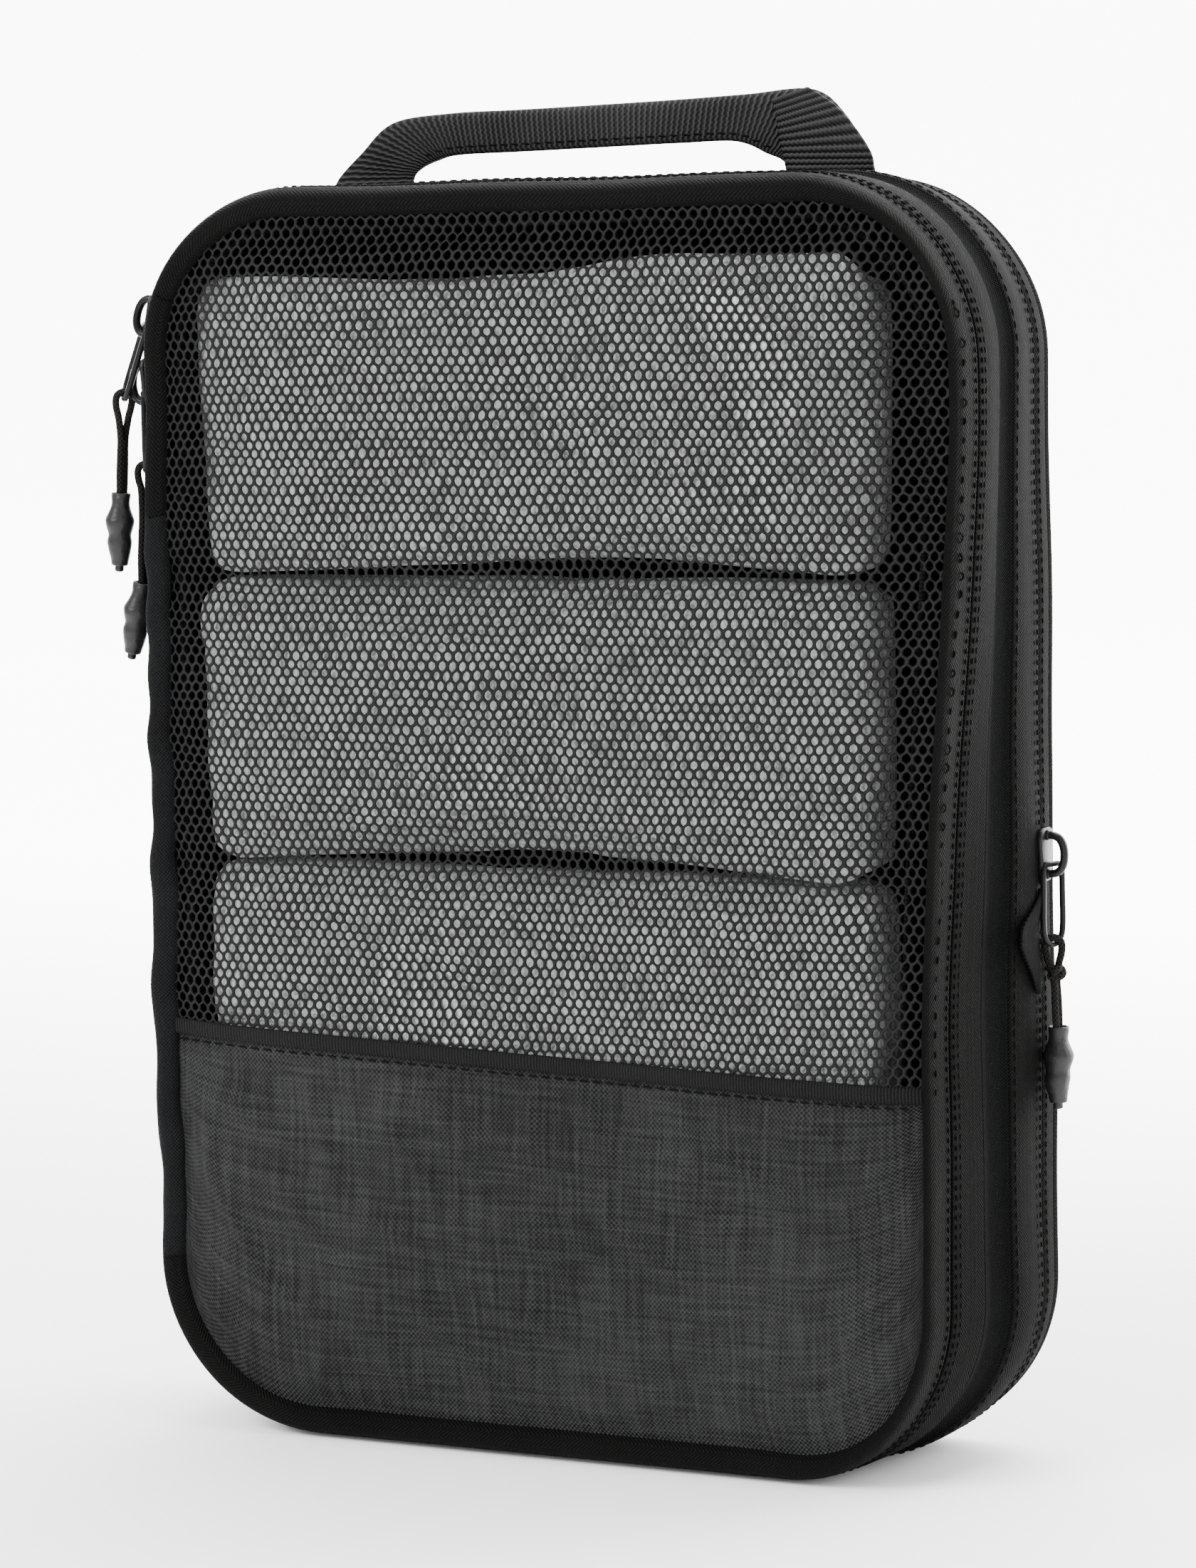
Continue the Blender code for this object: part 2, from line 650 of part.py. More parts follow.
clear_scene()
PARTS = collection("packing_cube")
GUIDES = collection("guides")
main_zip()
side_walls()
inner_layers()
lid_panels()
back_panel()
zip_pulls()
compression_tape_end()
handle()
garments()
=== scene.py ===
"""The looks of the packing cube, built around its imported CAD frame.

Metres, +Z up, front towards -Y. Most pieces are swept along one rounded-rectangle rim: s is the
distance along it, clockwise from the foot of the left side, and a profile point is (out, y), where
out is the distance beyond the rim. UVs are in metres, so every weave has its real scale.
"""

import math

import bmesh
import bpy
import numpy as np
from mathutils import Matrix, Vector


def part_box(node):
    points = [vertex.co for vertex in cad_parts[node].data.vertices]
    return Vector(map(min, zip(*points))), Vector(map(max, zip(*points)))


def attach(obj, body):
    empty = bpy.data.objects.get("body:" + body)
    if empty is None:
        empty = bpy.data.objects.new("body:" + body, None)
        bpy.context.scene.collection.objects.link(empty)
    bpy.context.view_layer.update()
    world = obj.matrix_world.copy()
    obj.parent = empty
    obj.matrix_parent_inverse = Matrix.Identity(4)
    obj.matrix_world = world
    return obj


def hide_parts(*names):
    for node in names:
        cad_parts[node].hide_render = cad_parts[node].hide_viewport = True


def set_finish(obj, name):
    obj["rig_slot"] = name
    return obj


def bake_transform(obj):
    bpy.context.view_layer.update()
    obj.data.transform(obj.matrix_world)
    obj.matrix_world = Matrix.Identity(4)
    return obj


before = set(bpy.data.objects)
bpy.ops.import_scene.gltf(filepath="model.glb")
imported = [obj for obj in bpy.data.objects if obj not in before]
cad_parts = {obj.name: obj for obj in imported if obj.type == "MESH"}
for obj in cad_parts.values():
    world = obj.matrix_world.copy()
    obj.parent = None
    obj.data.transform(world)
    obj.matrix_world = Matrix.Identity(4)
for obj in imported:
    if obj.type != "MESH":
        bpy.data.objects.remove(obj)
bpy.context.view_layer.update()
MM = 0.001
TURN = 2 * math.pi
PHOTO_WIDTH = 1680


def middle_y(node):
    low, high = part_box(node)
    return (low.y + high.y) / 2


HALF_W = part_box("side_gusset")[1].x
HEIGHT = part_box("side_gusset")[1].z
CORNER_R = 48 * MM
Y_ZIP = (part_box("front_main_tape")[1].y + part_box("rear_main_tape")[0].y) / 2
Y_COMP_ZIP = (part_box("front_compression_tape")[1].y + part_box("rear_compression_tape")[0].y) / 2
Y_WALL = middle_y("side_gusset")
WALL_HALF = 5.0 * MM
Y_RIM = Y_ZIP - 9 * MM
Y_PIPING = middle_y("back_piping")
Y_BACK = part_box("back_panel")[1].y
Y_HANDLE = middle_y("handle_webbing")
HINGE_TOP_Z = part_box("hinge_panel")[1].z
HINGE_ARC = math.radians(26)
SEAM_Z = 109.0 * MM
SEAM_SLOPE = 0.033
RIM_IN = 8.0 * MM
RIM_IN_RIGHT = 4.5 * MM
TAPE_THICK = 0.9 * MM
ZIP_GAP = 0.7 * MM
WEBBING_HALF = 12.5 * MM
PULLER_LENGTH = 21.2 * MM
TAPE_STITCH = {"pitch": 2.6 * MM, "size": (1.6 * MM, 0.28 * MM, 0.3 * MM)}
EDGE_STITCH = {"pitch": 3.2 * MM, "size": (2.1 * MM, 0.3 * MM, 0.3 * MM)}
LID_EDGE_SHIFT = (60 * MM, 116 * MM)
GARMENT_GAPS = ((1, 157 * MM), (2, 235 * MM))

SIDE = HEIGHT - 2 * CORNER_R
TOP = 2 * (HALF_W - CORNER_R)
ARC = math.pi / 2 * CORNER_R
LOOP = 2 * (SIDE + TOP) + 4 * ARC
S_HINGE_TOP = HINGE_TOP_Z - CORNER_R
S_LID_START = SIDE + CORNER_R * HINGE_ARC


# Camera


def camera():
    """The photograph's long lens, a little to the right of the cube and just above its middle.

    reach is the focal length in thousands of the photograph's pixels.
    """
    azimuth, elevation, roll = math.radians(25.8), math.radians(6.0), math.radians(1.15)
    distance, reach = 1.263, 6.627
    back = Vector((math.sin(azimuth) * math.cos(elevation), -math.cos(azimuth) * math.cos(elevation),
                   math.sin(elevation)))
    right = Vector((math.cos(azimuth), math.sin(azimuth), 0))
    up = back.cross(right)
    data = bpy.data.cameras.new("camera")
    data.sensor_fit = "HORIZONTAL"
    data.sensor_width = 36
    data.lens = reach * 1000 * data.sensor_width / PHOTO_WIDTH
    data.clip_end = 20
    obj = bpy.data.objects.new("camera", data)
    bpy.context.scene.collection.objects.link(obj)
    tilt = Matrix((right, up, back)).transposed().to_4x4()
    middle = Vector((0, 0, 0.169))
    off_right, off_up = 0.0014, 0.0085
    target = middle + right * off_right + up * off_up
    obj.matrix_world = Matrix.Translation(target + back * distance) @ tilt @ Matrix.Rotation(-roll, 4, "Z")
    bpy.context.scene.camera = obj


# Materials


class Graph:
    """Short ways to wire one material's nodes."""

    def __init__(self, name):
        self.material = bpy.data.materials.new(name)
        self.material.use_nodes = True
        self.nodes = self.material.node_tree.nodes
        self.links = self.material.node_tree.links
        self.shader = self.nodes["Principled BSDF"]

    def set(self, socket, value):
        if hasattr(value, "is_linked"):
            self.links.new(value, socket)
        else:
            socket.default_value = value

    def math(self, operation, a, b=0.0, c=0.0):
        node = self.nodes.new("ShaderNodeMath")
        node.operation = operation
        for socket, value in zip(node.inputs, (a, b, c)):
            self.set(socket, value)
        return node.outputs[0]

    def mul(self, a, b):
        return self.math("MULTIPLY", a, b)

    def add(self, a, b):
        return self.math("ADD", a, b)

    def wave(self, value, pitch, phase=0.0):
        """A sine of value with that pitch in metres."""
        return self.math("SINE", self.math("MULTIPLY_ADD", value, TURN / pitch, phase))

    def coordinates(self, source):
        node = self.nodes.new("ShaderNodeTexCoord")
        split = self.nodes.new("ShaderNodeSeparateXYZ")
        self.links.new(node.outputs[source], split.inputs[0])
        return node.outputs[source], split.outputs

    def noise(self, vector, scale, detail=2.0, roughness=0.5, stretch=None):
        if stretch:
            mapping = self.nodes.new("ShaderNodeMapping")
            mapping.inputs["Scale"].default_value = stretch
            self.links.new(vector, mapping.inputs[0])
            vector = mapping.outputs[0]
        node = self.nodes.new("ShaderNodeTexNoise")
        node.inputs["Scale"].default_value = scale
        node.inputs["Detail"].default_value = detail
        node.inputs["Roughness"].default_value = roughness
        self.links.new(vector, node.inputs["Vector"])
        return node.outputs["Fac"]

    def mix(self, factor, dark, light):
        node = self.nodes.new("ShaderNodeMix")
        node.data_type = "RGBA"
        self.set(node.inputs["Factor"], factor)
        self.set(node.inputs[6], (*dark, 1.0))
        self.set(node.inputs[7], (*light, 1.0))
        return node.outputs[2]

    def ramp(self, value, low, high):
        node = self.nodes.new("ShaderNodeMapRange")
        node.interpolation_type = "SMOOTHSTEP"
        self.set(node.inputs["Value"], value)
        node.inputs["From Min"].default_value = low
        node.inputs["From Max"].default_value = high
        return node.outputs[0]

    def bump(self, height, strength, distance):
        node = self.nodes.new("ShaderNodeBump")
        node.inputs["Strength"].default_value = strength
        node.inputs["Distance"].default_value = distance
        self.set(node.inputs["Height"], height)
        self.links.new(node.outputs[0], self.shader.inputs["Normal"])

    def centred(self, value):
        """A noise value moved to lie about zero."""
        return self.math("SUBTRACT", value, 0.5)

    def tone_mix(self, tone, dark, light, most):
        """Dark to light by tone, held between 0 and most."""
        return self.mix(self.math("MINIMUM", self.math("MAXIMUM", tone, 0.0), most), dark, light)

    def finish(self, colour, roughness, specular, sheen=0.0):
        self.set(self.shader.inputs["Base Color"], colour)
        self.set(self.shader.inputs["Roughness"], roughness)
        self.shader.inputs["Sheen Weight"].default_value = sheen
        self.shader.inputs["Sheen Roughness"].default_value = 0.45
        self.shader.inputs["Specular IOR Level"].default_value = specular
        return self.material


def dark_cloth(name, pattern, pitch, dark, light, relief, lint=0.5):
    """Black or charcoal cloth with its weave as relief and as tone."""
    g = Graph(name)
    vector, (u, v, _) = g.coordinates("UV")
    place, _ = g.coordinates("Object")
    if pattern == "twill":
        fold = g.math("PINGPONG", v, 3.2 * MM)
        lines = g.wave(g.add(u, g.mul(fold, 1.15)), pitch)
        threads = g.mul(g.wave(u, pitch * 0.5), g.wave(v, pitch * 0.62))
        height = g.add(g.mul(lines, 0.7), g.mul(threads, 0.3))
    elif pattern == "plain":
        over = g.mul(g.wave(u, 2 * pitch), g.wave(v, 2 * pitch))
        slub = g.noise(vector, 420, 2.0, 0.6, (1.0, 5.0, 1.0))
        height = g.add(over, g.mul(g.centred(slub), 1.6))
    elif pattern == "rib":
        ribs = g.wave(u, pitch)
        threads = g.mul(g.wave(u, pitch, 1.5), g.wave(v, pitch * 0.9))
        height = g.add(g.mul(ribs, 0.75), g.mul(threads, 0.35))
    elif pattern == "braid":
        one = g.wave(g.add(u, v), pitch)
        other = g.wave(g.math("SUBTRACT", u, v), pitch)
        height = g.math("MAXIMUM", one, other)
    else:
        height = g.centred(g.noise(place, 900, 2.0))
    tone = g.math("MULTIPLY_ADD", height, 0.32, 0.42)
    wear = g.noise(place, 22, 3.0, 0.6)
    fibre = g.noise(vector if pattern != "fuzz" else place, 1500, 2.0, 0.7)
    fluff = g.mul(g.ramp(fibre, 0.62, 0.80), lint)
    tone = g.add(g.add(tone, g.mul(g.centred(wear), 0.55)), fluff)
    g.bump(g.add(height, g.mul(fibre, 0.5)), 0.85, relief * MM)
    return g.finish(g.tone_mix(tone, dark, light, 1.3), g.math("MULTIPLY_ADD", height, 0.07, 0.82), 0.05)


def panel_cloth():
    """The lower front panel: uneven plain weave with a faint ripstop grid."""
    g = Graph("panel_weave")
    vector, (u, v, _) = g.coordinates("UV")
    place, _ = g.coordinates("Object")
    pitch = 0.66 * MM
    bend = g.mul(g.centred(g.noise(place, 30, 2.0)), 0.6 * MM)
    over = g.mul(g.wave(g.add(u, bend), 2 * pitch), g.wave(v, 2 * pitch))
    warp = g.noise(vector, 700, 2.0, 0.65, (1.0, 0.06, 1.0))
    weft = g.noise(vector, 700, 2.0, 0.65, (0.06, 1.0, 1.0))
    threads = g.math("SUBTRACT", g.add(warp, weft), 1.0)
    grid = []
    for along in (u, v):
        from_middle = g.math("ABSOLUTE", g.math("SUBTRACT", g.math("PINGPONG", along, 4.1 * MM), 2.05 * MM))
        grid.append(g.ramp(from_middle, 1.85 * MM, 2.05 * MM))
    rips = g.mul(g.math("MAXIMUM", *grid), 0.35)
    height = g.add(g.add(over, g.mul(threads, 2.2)), rips)
    tone = g.math("MULTIPLY_ADD", height, 0.46, 0.40)
    wear = g.noise(place, 14, 3.0, 0.6)
    fibre = g.noise(vector, 1700, 2.0, 0.7)
    tone = g.add(tone, g.add(g.mul(g.centred(wear), 0.7), g.mul(g.ramp(fibre, 0.6, 0.8), 0.45)))
    colour = g.tone_mix(tone, (0.0005, 0.0005, 0.0005), (0.0300, 0.0303, 0.0310), 1.4)
    g.bump(height, 1.0, 0.30 * MM)
    return g.finish(colour, g.math("MULTIPLY_ADD", height, 0.05, 0.68), 0.12)


def knit_cloth(name, tint):
    """Light grey heather jersey: fine columns of stitches flecked with darker fibres."""
    g = Graph(name)
    place, (x, _, z) = g.coordinates("Object")
    sway = g.mul(g.centred(g.noise(place, 35, 2.0)), 2.5 * MM)
    column = g.math("ABSOLUTE", g.wave(g.add(x, sway), 3.0 * MM))
    rows = g.wave(g.add(z, g.mul(column, 0.5 * MM)), 1.3 * MM)
    height = g.add(g.mul(column, 0.8), g.mul(rows, 0.35))
    fleck = g.noise(place, 620, 3.0, 0.7, (1.0, 1.0, 0.35))
    cloud = g.noise(place, 60, 3.0, 0.6)
    tone = g.add(g.mul(g.ramp(fleck, 0.34, 0.62), 0.62), g.mul(cloud, 0.36))
    tone = g.add(tone, g.mul(height, 0.10))
    dark = tuple(0.06 * t for t in tint)
    light = tuple(0.47 * t for t in tint)
    g.bump(g.add(height, g.mul(fleck, 0.8)), 0.7, 0.35 * MM)
    return g.finish(g.mix(tone, dark, light), 0.9, 0.12, sheen=0.08)


def strand_material():
    """The net's black polyester yarn."""
    g = Graph("net_yarn")
    place, _ = g.coordinates("Object")
    twist = g.noise(place, 1300, 2.0, 0.6)
    drift = g.noise(place, 40, 2.0)
    tone = g.add(g.mul(twist, 0.6), g.mul(drift, 0.35))
    g.bump(twist, 0.6, 0.2 * MM)
    return g.finish(g.mix(tone, (0.0003, 0.0003, 0.0003), (0.0100, 0.0100, 0.0103)), 0.6, 0.12)


def gloss_metal():
    """Black-plated zinc, glossy, with faint handling marks."""
    g = Graph("black_metal")
    place, _ = g.coordinates("Object")
    cloud = g.noise(place, 180, 3.0, 0.6)
    scratch = g.noise(place, 500, 2.0, 0.5, (0.15, 1.0, 1.0))
    colour = g.mix(cloud, (0.002, 0.002, 0.002), (0.008, 0.008, 0.009))
    rough = g.add(0.13, g.mul(g.ramp(scratch, 0.45, 0.8), 0.22))
    g.bump(g.noise(place, 260, 2.0), 0.15, 0.06 * MM)
    return g.finish(colour, g.add(rough, 0.16), 0.13)


def sleeve_plastic():
    """Satin black heat-shrunk tubing, crinkled where it grips the knot."""
    g = Graph("shrink_sleeve")
    place, _ = g.coordinates("Object")
    crinkle = g.noise(place, 420, 3.0, 0.6, (1.0, 1.0, 0.45))
    dust = g.noise(place, 1400, 2.0, 0.7)
    tone = g.add(g.mul(crinkle, 0.5), g.mul(g.ramp(dust, 0.55, 0.8), 0.6))
    colour = g.mix(tone, (0.0025, 0.0025, 0.0028), (0.0100, 0.0103, 0.0110))
    g.bump(g.add(crinkle, g.mul(dust, 0.15)), 0.8, 0.45 * MM)
    return g.finish(colour, g.math("MULTIPLY_ADD", crinkle, 0.2, 0.36), 0.28)


def coil_plastic():
    """The zip chain's black nylon."""
    g = Graph("coil_nylon")
    place, _ = g.coordinates("Object")
    tone = g.noise(place, 900, 2.0, 0.6)
    g.bump(tone, 0.4, 0.1 * MM)
    return g.finish(g.mix(tone, (0.0015, 0.0015, 0.0015), (0.008, 0.008, 0.008)), 0.42, 0.3)


def pale_floor():
    """Near-white paper that glows more and more behind the object, as an overexposed backdrop does."""
    g = Graph("pale_floor")
    place, (_, y, _) = g.coordinates("Object")
    tone = g.noise(place, 6, 2.0)
    g.shader.inputs["Emission Color"].default_value = (1, 1, 1, 1)
    g.set(g.shader.inputs["Emission Strength"], g.mul(g.ramp(y, 0.05, 1.2), 7.0))
    return g.finish(g.mix(tone, (0.92, 0.92, 0.92), (0.95, 0.95, 0.95)), 0.8, 0.2)


INK = (0.0002, 0.0002, 0.0002)
LOOKS = {
    "front_tape": dark_cloth("front_tape_twill", "twill", 1.25 * MM, INK, (0.0100, 0.0097, 0.0094), 0.8),
    "tape": dark_cloth("tape_twill", "twill", 1.0 * MM, INK, (0.0062, 0.0059, 0.0056), 0.7),
    "wall": dark_cloth("wall_weave", "plain", 0.42 * MM, INK, (0.0040, 0.0042, 0.0048), 0.4),
    "piping": dark_cloth("piping_rib", "rib", 1.1 * MM, (0.0004, 0.0003, 0.0003), (0.0100, 0.0088, 0.0078), 0.4),
    "webbing": dark_cloth("webbing_rib", "rib", 1.6 * MM, (0.0006, 0.0006, 0.0006), (0.0560, 0.0560, 0.0570), 0.7),
    "hinge": dark_cloth("hinge_weave", "plain", 0.50 * MM, (0.0010, 0.0010, 0.0011), (0.0120, 0.0124, 0.0132), 0.24),
    "seam": dark_cloth("seam_rib", "rib", 0.9 * MM, (0.0012, 0.0012, 0.0012), (0.0160, 0.0160, 0.0164), 0.3),
    "stitch": dark_cloth("stitch_thread", "fuzz", 1 * MM, INK, (0.0050, 0.0050, 0.0050), 0.10),
    "cord": dark_cloth("cord_braid", "braid", 1.25 * MM, (0.0010, 0.0009, 0.0008), (0.0170, 0.0160, 0.0150), 0.28,
                       lint=0.3),
    "panel": panel_cloth(),
    "net": strand_material(),
    "coil": coil_plastic(),
    "metal": gloss_metal(),
    "sleeve": sleeve_plastic(),
    "garment_a": knit_cloth("jersey_a", (1.0, 1.01, 1.02)),
    "garment_b": knit_cloth("jersey_b", (0.93, 0.94, 0.95)),
}
SLOTS = {
    "front_tape": "tape", "tape": "tape", "wall": "fabric", "piping": "piping", "webbing": "webbing",
    "hinge": "fabric", "seam": "stitch", "stitch": "stitch", "cord": "cord", "panel": "fabric", "net": "mesh",
    "coil": "coil", "metal": "metal", "sleeve": "sleeve", "garment_a": "garment", "garment_b": "garment",
}


# Shape helpers


def waves(points, scale, seed, count=7):
    """Smooth repeatable unevenness, about -1 to 1, with features of that size."""
    rng = np.random.default_rng(seed)
    total = np.zeros(len(points))
    for _ in range(count):
        direction = rng.normal(size=3)
        direction /= np.linalg.norm(direction)
        pitch = scale * rng.uniform(1.4, 2.8)
        total += np.sin(points @ direction * (TURN / pitch) + rng.uniform(0, TURN))
    return total / math.sqrt(count * 2)


def smoothstep(value, low, high):
    t = np.clip((value - low) / (high - low), 0, 1)
    return t * t * (3 - 2 * t)


def slump(points):
    """The half-filled cube's lean: below the clothes its right wall draws in towards the front."""
    p = np.array(points, float)
    depth = smoothstep(-p[:, 1], -20 * MM, 26 * MM)
    low = smoothstep(-p[:, 2], -285 * MM, -110 * MM)
    right = np.clip(p[:, 0] / HALF_W, 0, 1)
    p[:, 0] -= 10.0 * MM * depth * low * right
    left = np.clip(-p[:, 0] / HALF_W, 0, 1) ** 3
    low_left = smoothstep(-p[:, 2], -215 * MM, -120 * MM)
    pressed = smoothstep(-p[:, 1], 22 * MM, 27 * MM) * np.exp(-(((p[:, 2] - 286 * MM) / (24 * MM)) ** 2))
    p[:, 0] += left * (2.2 * MM * pressed - 1.2 * MM * low_left)
    return p


def link(obj):
    bpy.context.scene.collection.objects.link(obj)
    return obj


def smooth(mesh):
    mesh.polygons.foreach_set("use_smooth", [True] * len(mesh.polygons))


def from_bmesh(name, bm, material):
    """A linked object made of a finished bmesh."""
    mesh = bpy.data.meshes.new(name)
    bm.to_mesh(mesh)
    bm.free()
    mesh.materials.append(material)
    return link(bpy.data.objects.new(name, mesh))


def vertices(mesh):
    return np.array([v.co for v in mesh.vertices], float)


def put_vertices(mesh, co):
    mesh.vertices.foreach_set("co", co.astype(np.float32).ravel())
    mesh.update()


def set_down(obj, place):
    obj.matrix_world = place
    bpy.context.view_layer.update()


def upright_points(x, z):
    """(x, 0, z) points in one list, for waves."""
    return np.stack((x, 0 * x, z), -1).reshape(-1, 3)


def mesh_object(name, verts, faces, look, uvs=None):
    mesh = bpy.data.meshes.new(name)
    mesh.from_pydata(np.asarray(verts).tolist(), [], faces)
    if uvs is not None:
        layer = mesh.uv_layers.new(name="UVMap")
        layer.data.foreach_set("uv", np.asarray(uvs, np.float32).ravel())
    smooth(mesh)
    mesh.materials.append(LOOKS[look])
    obj = link(bpy.data.objects.new(name, mesh))
    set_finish(obj, SLOTS[look])
    return obj


def surface(name, grid, look, u, v, wrap_u=False, wrap_v=False, cap=False, flip=False):
    """A mesh over grid[i][j] of points. u and v hold one more value than the grid where it wraps."""
    rows, cols = grid.shape[:2]
    faces, uvs = [], []
    for i in range(rows if wrap_u else rows - 1):
        a = i * cols
        b = ((i + 1) % rows) * cols
        for j in range(cols if wrap_v else cols - 1):
            k = (j + 1) % cols
            face = [a + j, b + j, b + k, a + k]
            corners = [(u[i], v[j]), (u[i + 1], v[j]), (u[i + 1], v[j + 1]), (u[i], v[j + 1])]
            if flip:
                face.reverse()
                corners.reverse()
            faces.append(face)
            uvs += corners
    if cap and not wrap_u:
        for start, order in ((0, 1), ((rows - 1) * cols, -1)):
            face = [start + j for j in range(cols)][::order]
            if flip:
                face.reverse()
            faces.append(face)
            uvs += [(u[0], v[j]) for j in range(cols)][::order]
    return mesh_object(name, grid.reshape(-1, 3), faces, look, uvs=uvs)


def rim(s):
    """Points (x, z) and outward directions at distances s along the rim."""
    s = np.mod(np.asarray(s, float), LOOP)
    runs = (SIDE, ARC, TOP, ARC, SIDE, ARC, TOP, ARC)
    starts = np.concatenate(([0], np.cumsum(runs)))
    cx, cz = HALF_W - CORNER_R, CORNER_R
    corners = ((-cx, HEIGHT - cz), (cx, HEIGHT - cz), (cx, cz), (-cx, cz))
    place = np.zeros((len(s), 2))
    out = np.zeros((len(s), 2))
    for k in range(8):
        here = (s >= starts[k]) & (s <= starts[k + 1] + 1e-12)
        along = s[here] - starts[k]
        side = k // 2
        centre = np.array(corners[side])
        if k % 2:
            angle = side * math.pi / 2 + along / CORNER_R
            direction = np.stack((-np.cos(angle), np.sin(angle)), 1)
            place[here] = centre + CORNER_R * direction
        else:
            angle = side * math.pi / 2
            direction = np.array((-math.cos(angle), math.sin(angle)))
            ahead = np.array((math.sin(angle), math.cos(angle)))
            place[here] = centre + CORNER_R * direction + ahead * (along[:, None] - runs[k])
        out[here] = direction
    return place, out


def stations(first=0.0, last=None, step=3.0 * MM):
    """Distances along the rim, all round if last is None."""
    if last is None:
        count = round(LOOP / step)
        return np.arange(count) * LOOP / count, True
    count = max(2, round((last - first) / step))
    return np.linspace(first, last, count + 1), False


def sweep_points(s, profile):
    """profile is (k, 2), or (len(s), k, 2) where it changes along the rim."""
    place, out = rim(s)
    profile = np.asarray(profile, float)
    if profile.ndim == 2:
        profile = np.broadcast_to(profile, (len(s), *profile.shape))
    grid = np.zeros((len(s), profile.shape[1], 3))
    grid[:, :, 0] = place[:, None, 0] + profile[:, :, 0] * out[:, None, 0]
    grid[:, :, 2] = place[:, None, 1] + profile[:, :, 0] * out[:, None, 1]
    grid[:, :, 1] = profile[:, :, 1]
    return grid


def ease(grid, amount=0.55 * MM, scale=26 * MM, seed=3):
    """Slump and the cloth's soft unevenness, the same field for every piece so that seams stay shut."""
    flat = grid.reshape(-1, 3)
    middle = np.array((0, 0, HEIGHT / 2))
    away = flat - middle
    away[:, 1] = 0
    away /= np.maximum(np.linalg.norm(away, axis=1), 1e-9)[:, None]
    keep = smoothstep(flat[:, 2], 0.0, 30 * MM)
    flat = flat + away * (amount * keep * waves(flat, scale, seed))[:, None]
    return slump(flat).reshape(grid.shape)


def band(outer, thickness=TAPE_THICK):
    """A closed profile of one cloth thickness from its outer edge points, front to back."""
    outer = np.asarray(outer, float)
    run = np.gradient(outer, axis=0)
    run /= np.linalg.norm(run, axis=1)[:, None]
    inner = outer + np.stack((-run[:, 1], run[:, 0]), 1) * thickness
    return np.concatenate((outer, inner[::-1]))


def smooth_profile(points, per_span=4):
    """Points on a Catmull-Rom curve through these."""
    route = [np.asarray(p, float) for p in points]
    out = []
    for k in range(len(route) - 1):
        a, b = route[max(k - 1, 0)], route[k]
        c, d = route[k + 1], route[min(k + 2, len(route) - 1)]
        for step in range(per_span):
            t = step / per_span
            out.append(0.5 * (2 * b + (c - a) * t + (2 * a - 5 * b + 4 * c - d) * t * t
                              + (3 * b - a - 3 * c + d) * t ** 3))
    out.append(route[-1])
    return np.array(out)


def lengths(points, closed=False):
    points = np.asarray(points)
    if closed:
        points = np.concatenate((points, points[:1]))
    return np.concatenate(([0], np.cumsum(np.linalg.norm(np.diff(points, axis=0), axis=1))))


def ring(name, profile, look, body, node, first=0.0, last=None, step=3.0 * MM):
    """A closed profile swept along the rim. profile may be a function of the stations instead."""
    s, loop = stations(first, last, step)
    profile = profile(s) if callable(profile) else np.asarray(profile)
    grid = ease(sweep_points(s, profile))
    u = np.append(s, LOOP) if loop else s
    v = lengths(profile if profile.ndim == 2 else profile[0], closed=True)
    obj = surface(name, grid, look, u, v, wrap_u=loop, wrap_v=True, cap=not loop)
    if body:
        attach(obj, body)
    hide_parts(node)
    return obj


def rounded_bar(sides=6):
    """Unit template of a short rounded bar along +X: vertices and faces."""
    verts, faces = [(-0.5, 0, 0)], []
    for x, r in ((-0.36, 0.8), (0.0, 1.0), (0.36, 0.8)):
        for k in range(sides):
            angle = TURN * k / sides
            verts.append((x, r * math.cos(angle), r * math.sin(angle)))
    verts.append((0.5, 0, 0))
    last = len(verts) - 1
    for k in range(sides):
        n = (k + 1) % sides
        faces.append((0, 1 + n, 1 + k))
        for row in (0, 1):
            a, b = 1 + row * sides, 1 + (row + 1) * sides
            faces.append((a + k, a + n, b + n, b + k))
        faces.append((1 + 2 * sides + k, 1 + 2 * sides + n, last))
    return np.array(verts), faces


def scatter(name, template, centres, along, across, up, look, body):
    """One mesh of many copies of a template, each with its own three axes as lengths."""
    verts, faces = template
    count = len(centres)
    points = (centres[:, None] + verts[None, :, 0:1] * along[:, None] + verts[None, :, 1:2] * across[:, None]
              + verts[None, :, 2:3] * up[:, None])
    all_faces = []
    for k in range(count):
        base = k * len(verts)
        all_faces += [tuple(base + i for i in face) for face in faces]
    obj = mesh_object(name, points.reshape(-1, 3), all_faces, look)
    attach(obj, body)
    return obj


def rim_frames(s, out, y):
    """Eased points on the rim with their directions along, across (+Y) and outward."""
    s = np.asarray(s)
    profile = np.zeros((len(s), 1, 2))
    profile[:, 0, 0] = out
    profile[:, 0, 1] = y
    points = ease(sweep_points(s, profile))[:, 0]
    ahead = ease(sweep_points(s + 0.5 * MM, profile))[:, 0] - points
    ahead /= np.linalg.norm(ahead, axis=1)[:, None]
    across = np.tile((0.0, 1.0, 0.0), (len(s), 1))
    outward = np.cross(ahead, across)
    flip = np.sum(outward * (points - np.array((0, 0, HEIGHT / 2))), axis=1) < 0
    outward[flip] *= -1
    return points, ahead, across, outward


def stitches(name, out, y, body, first=0.0, last=None, pitch=3.4 * MM, size=(2.3 * MM, 0.3 * MM, 0.26 * MM)):
    """A row of thread stitches along the rim."""
    s, _ = stations(first, last, pitch)
    points, ahead, across, outward = rim_frames(s, out, y)
    skew = across * 0.08
    scatter(name, rounded_bar(), points, (ahead + skew) * size[0], across * size[1], outward * size[2],
            "stitch", body)


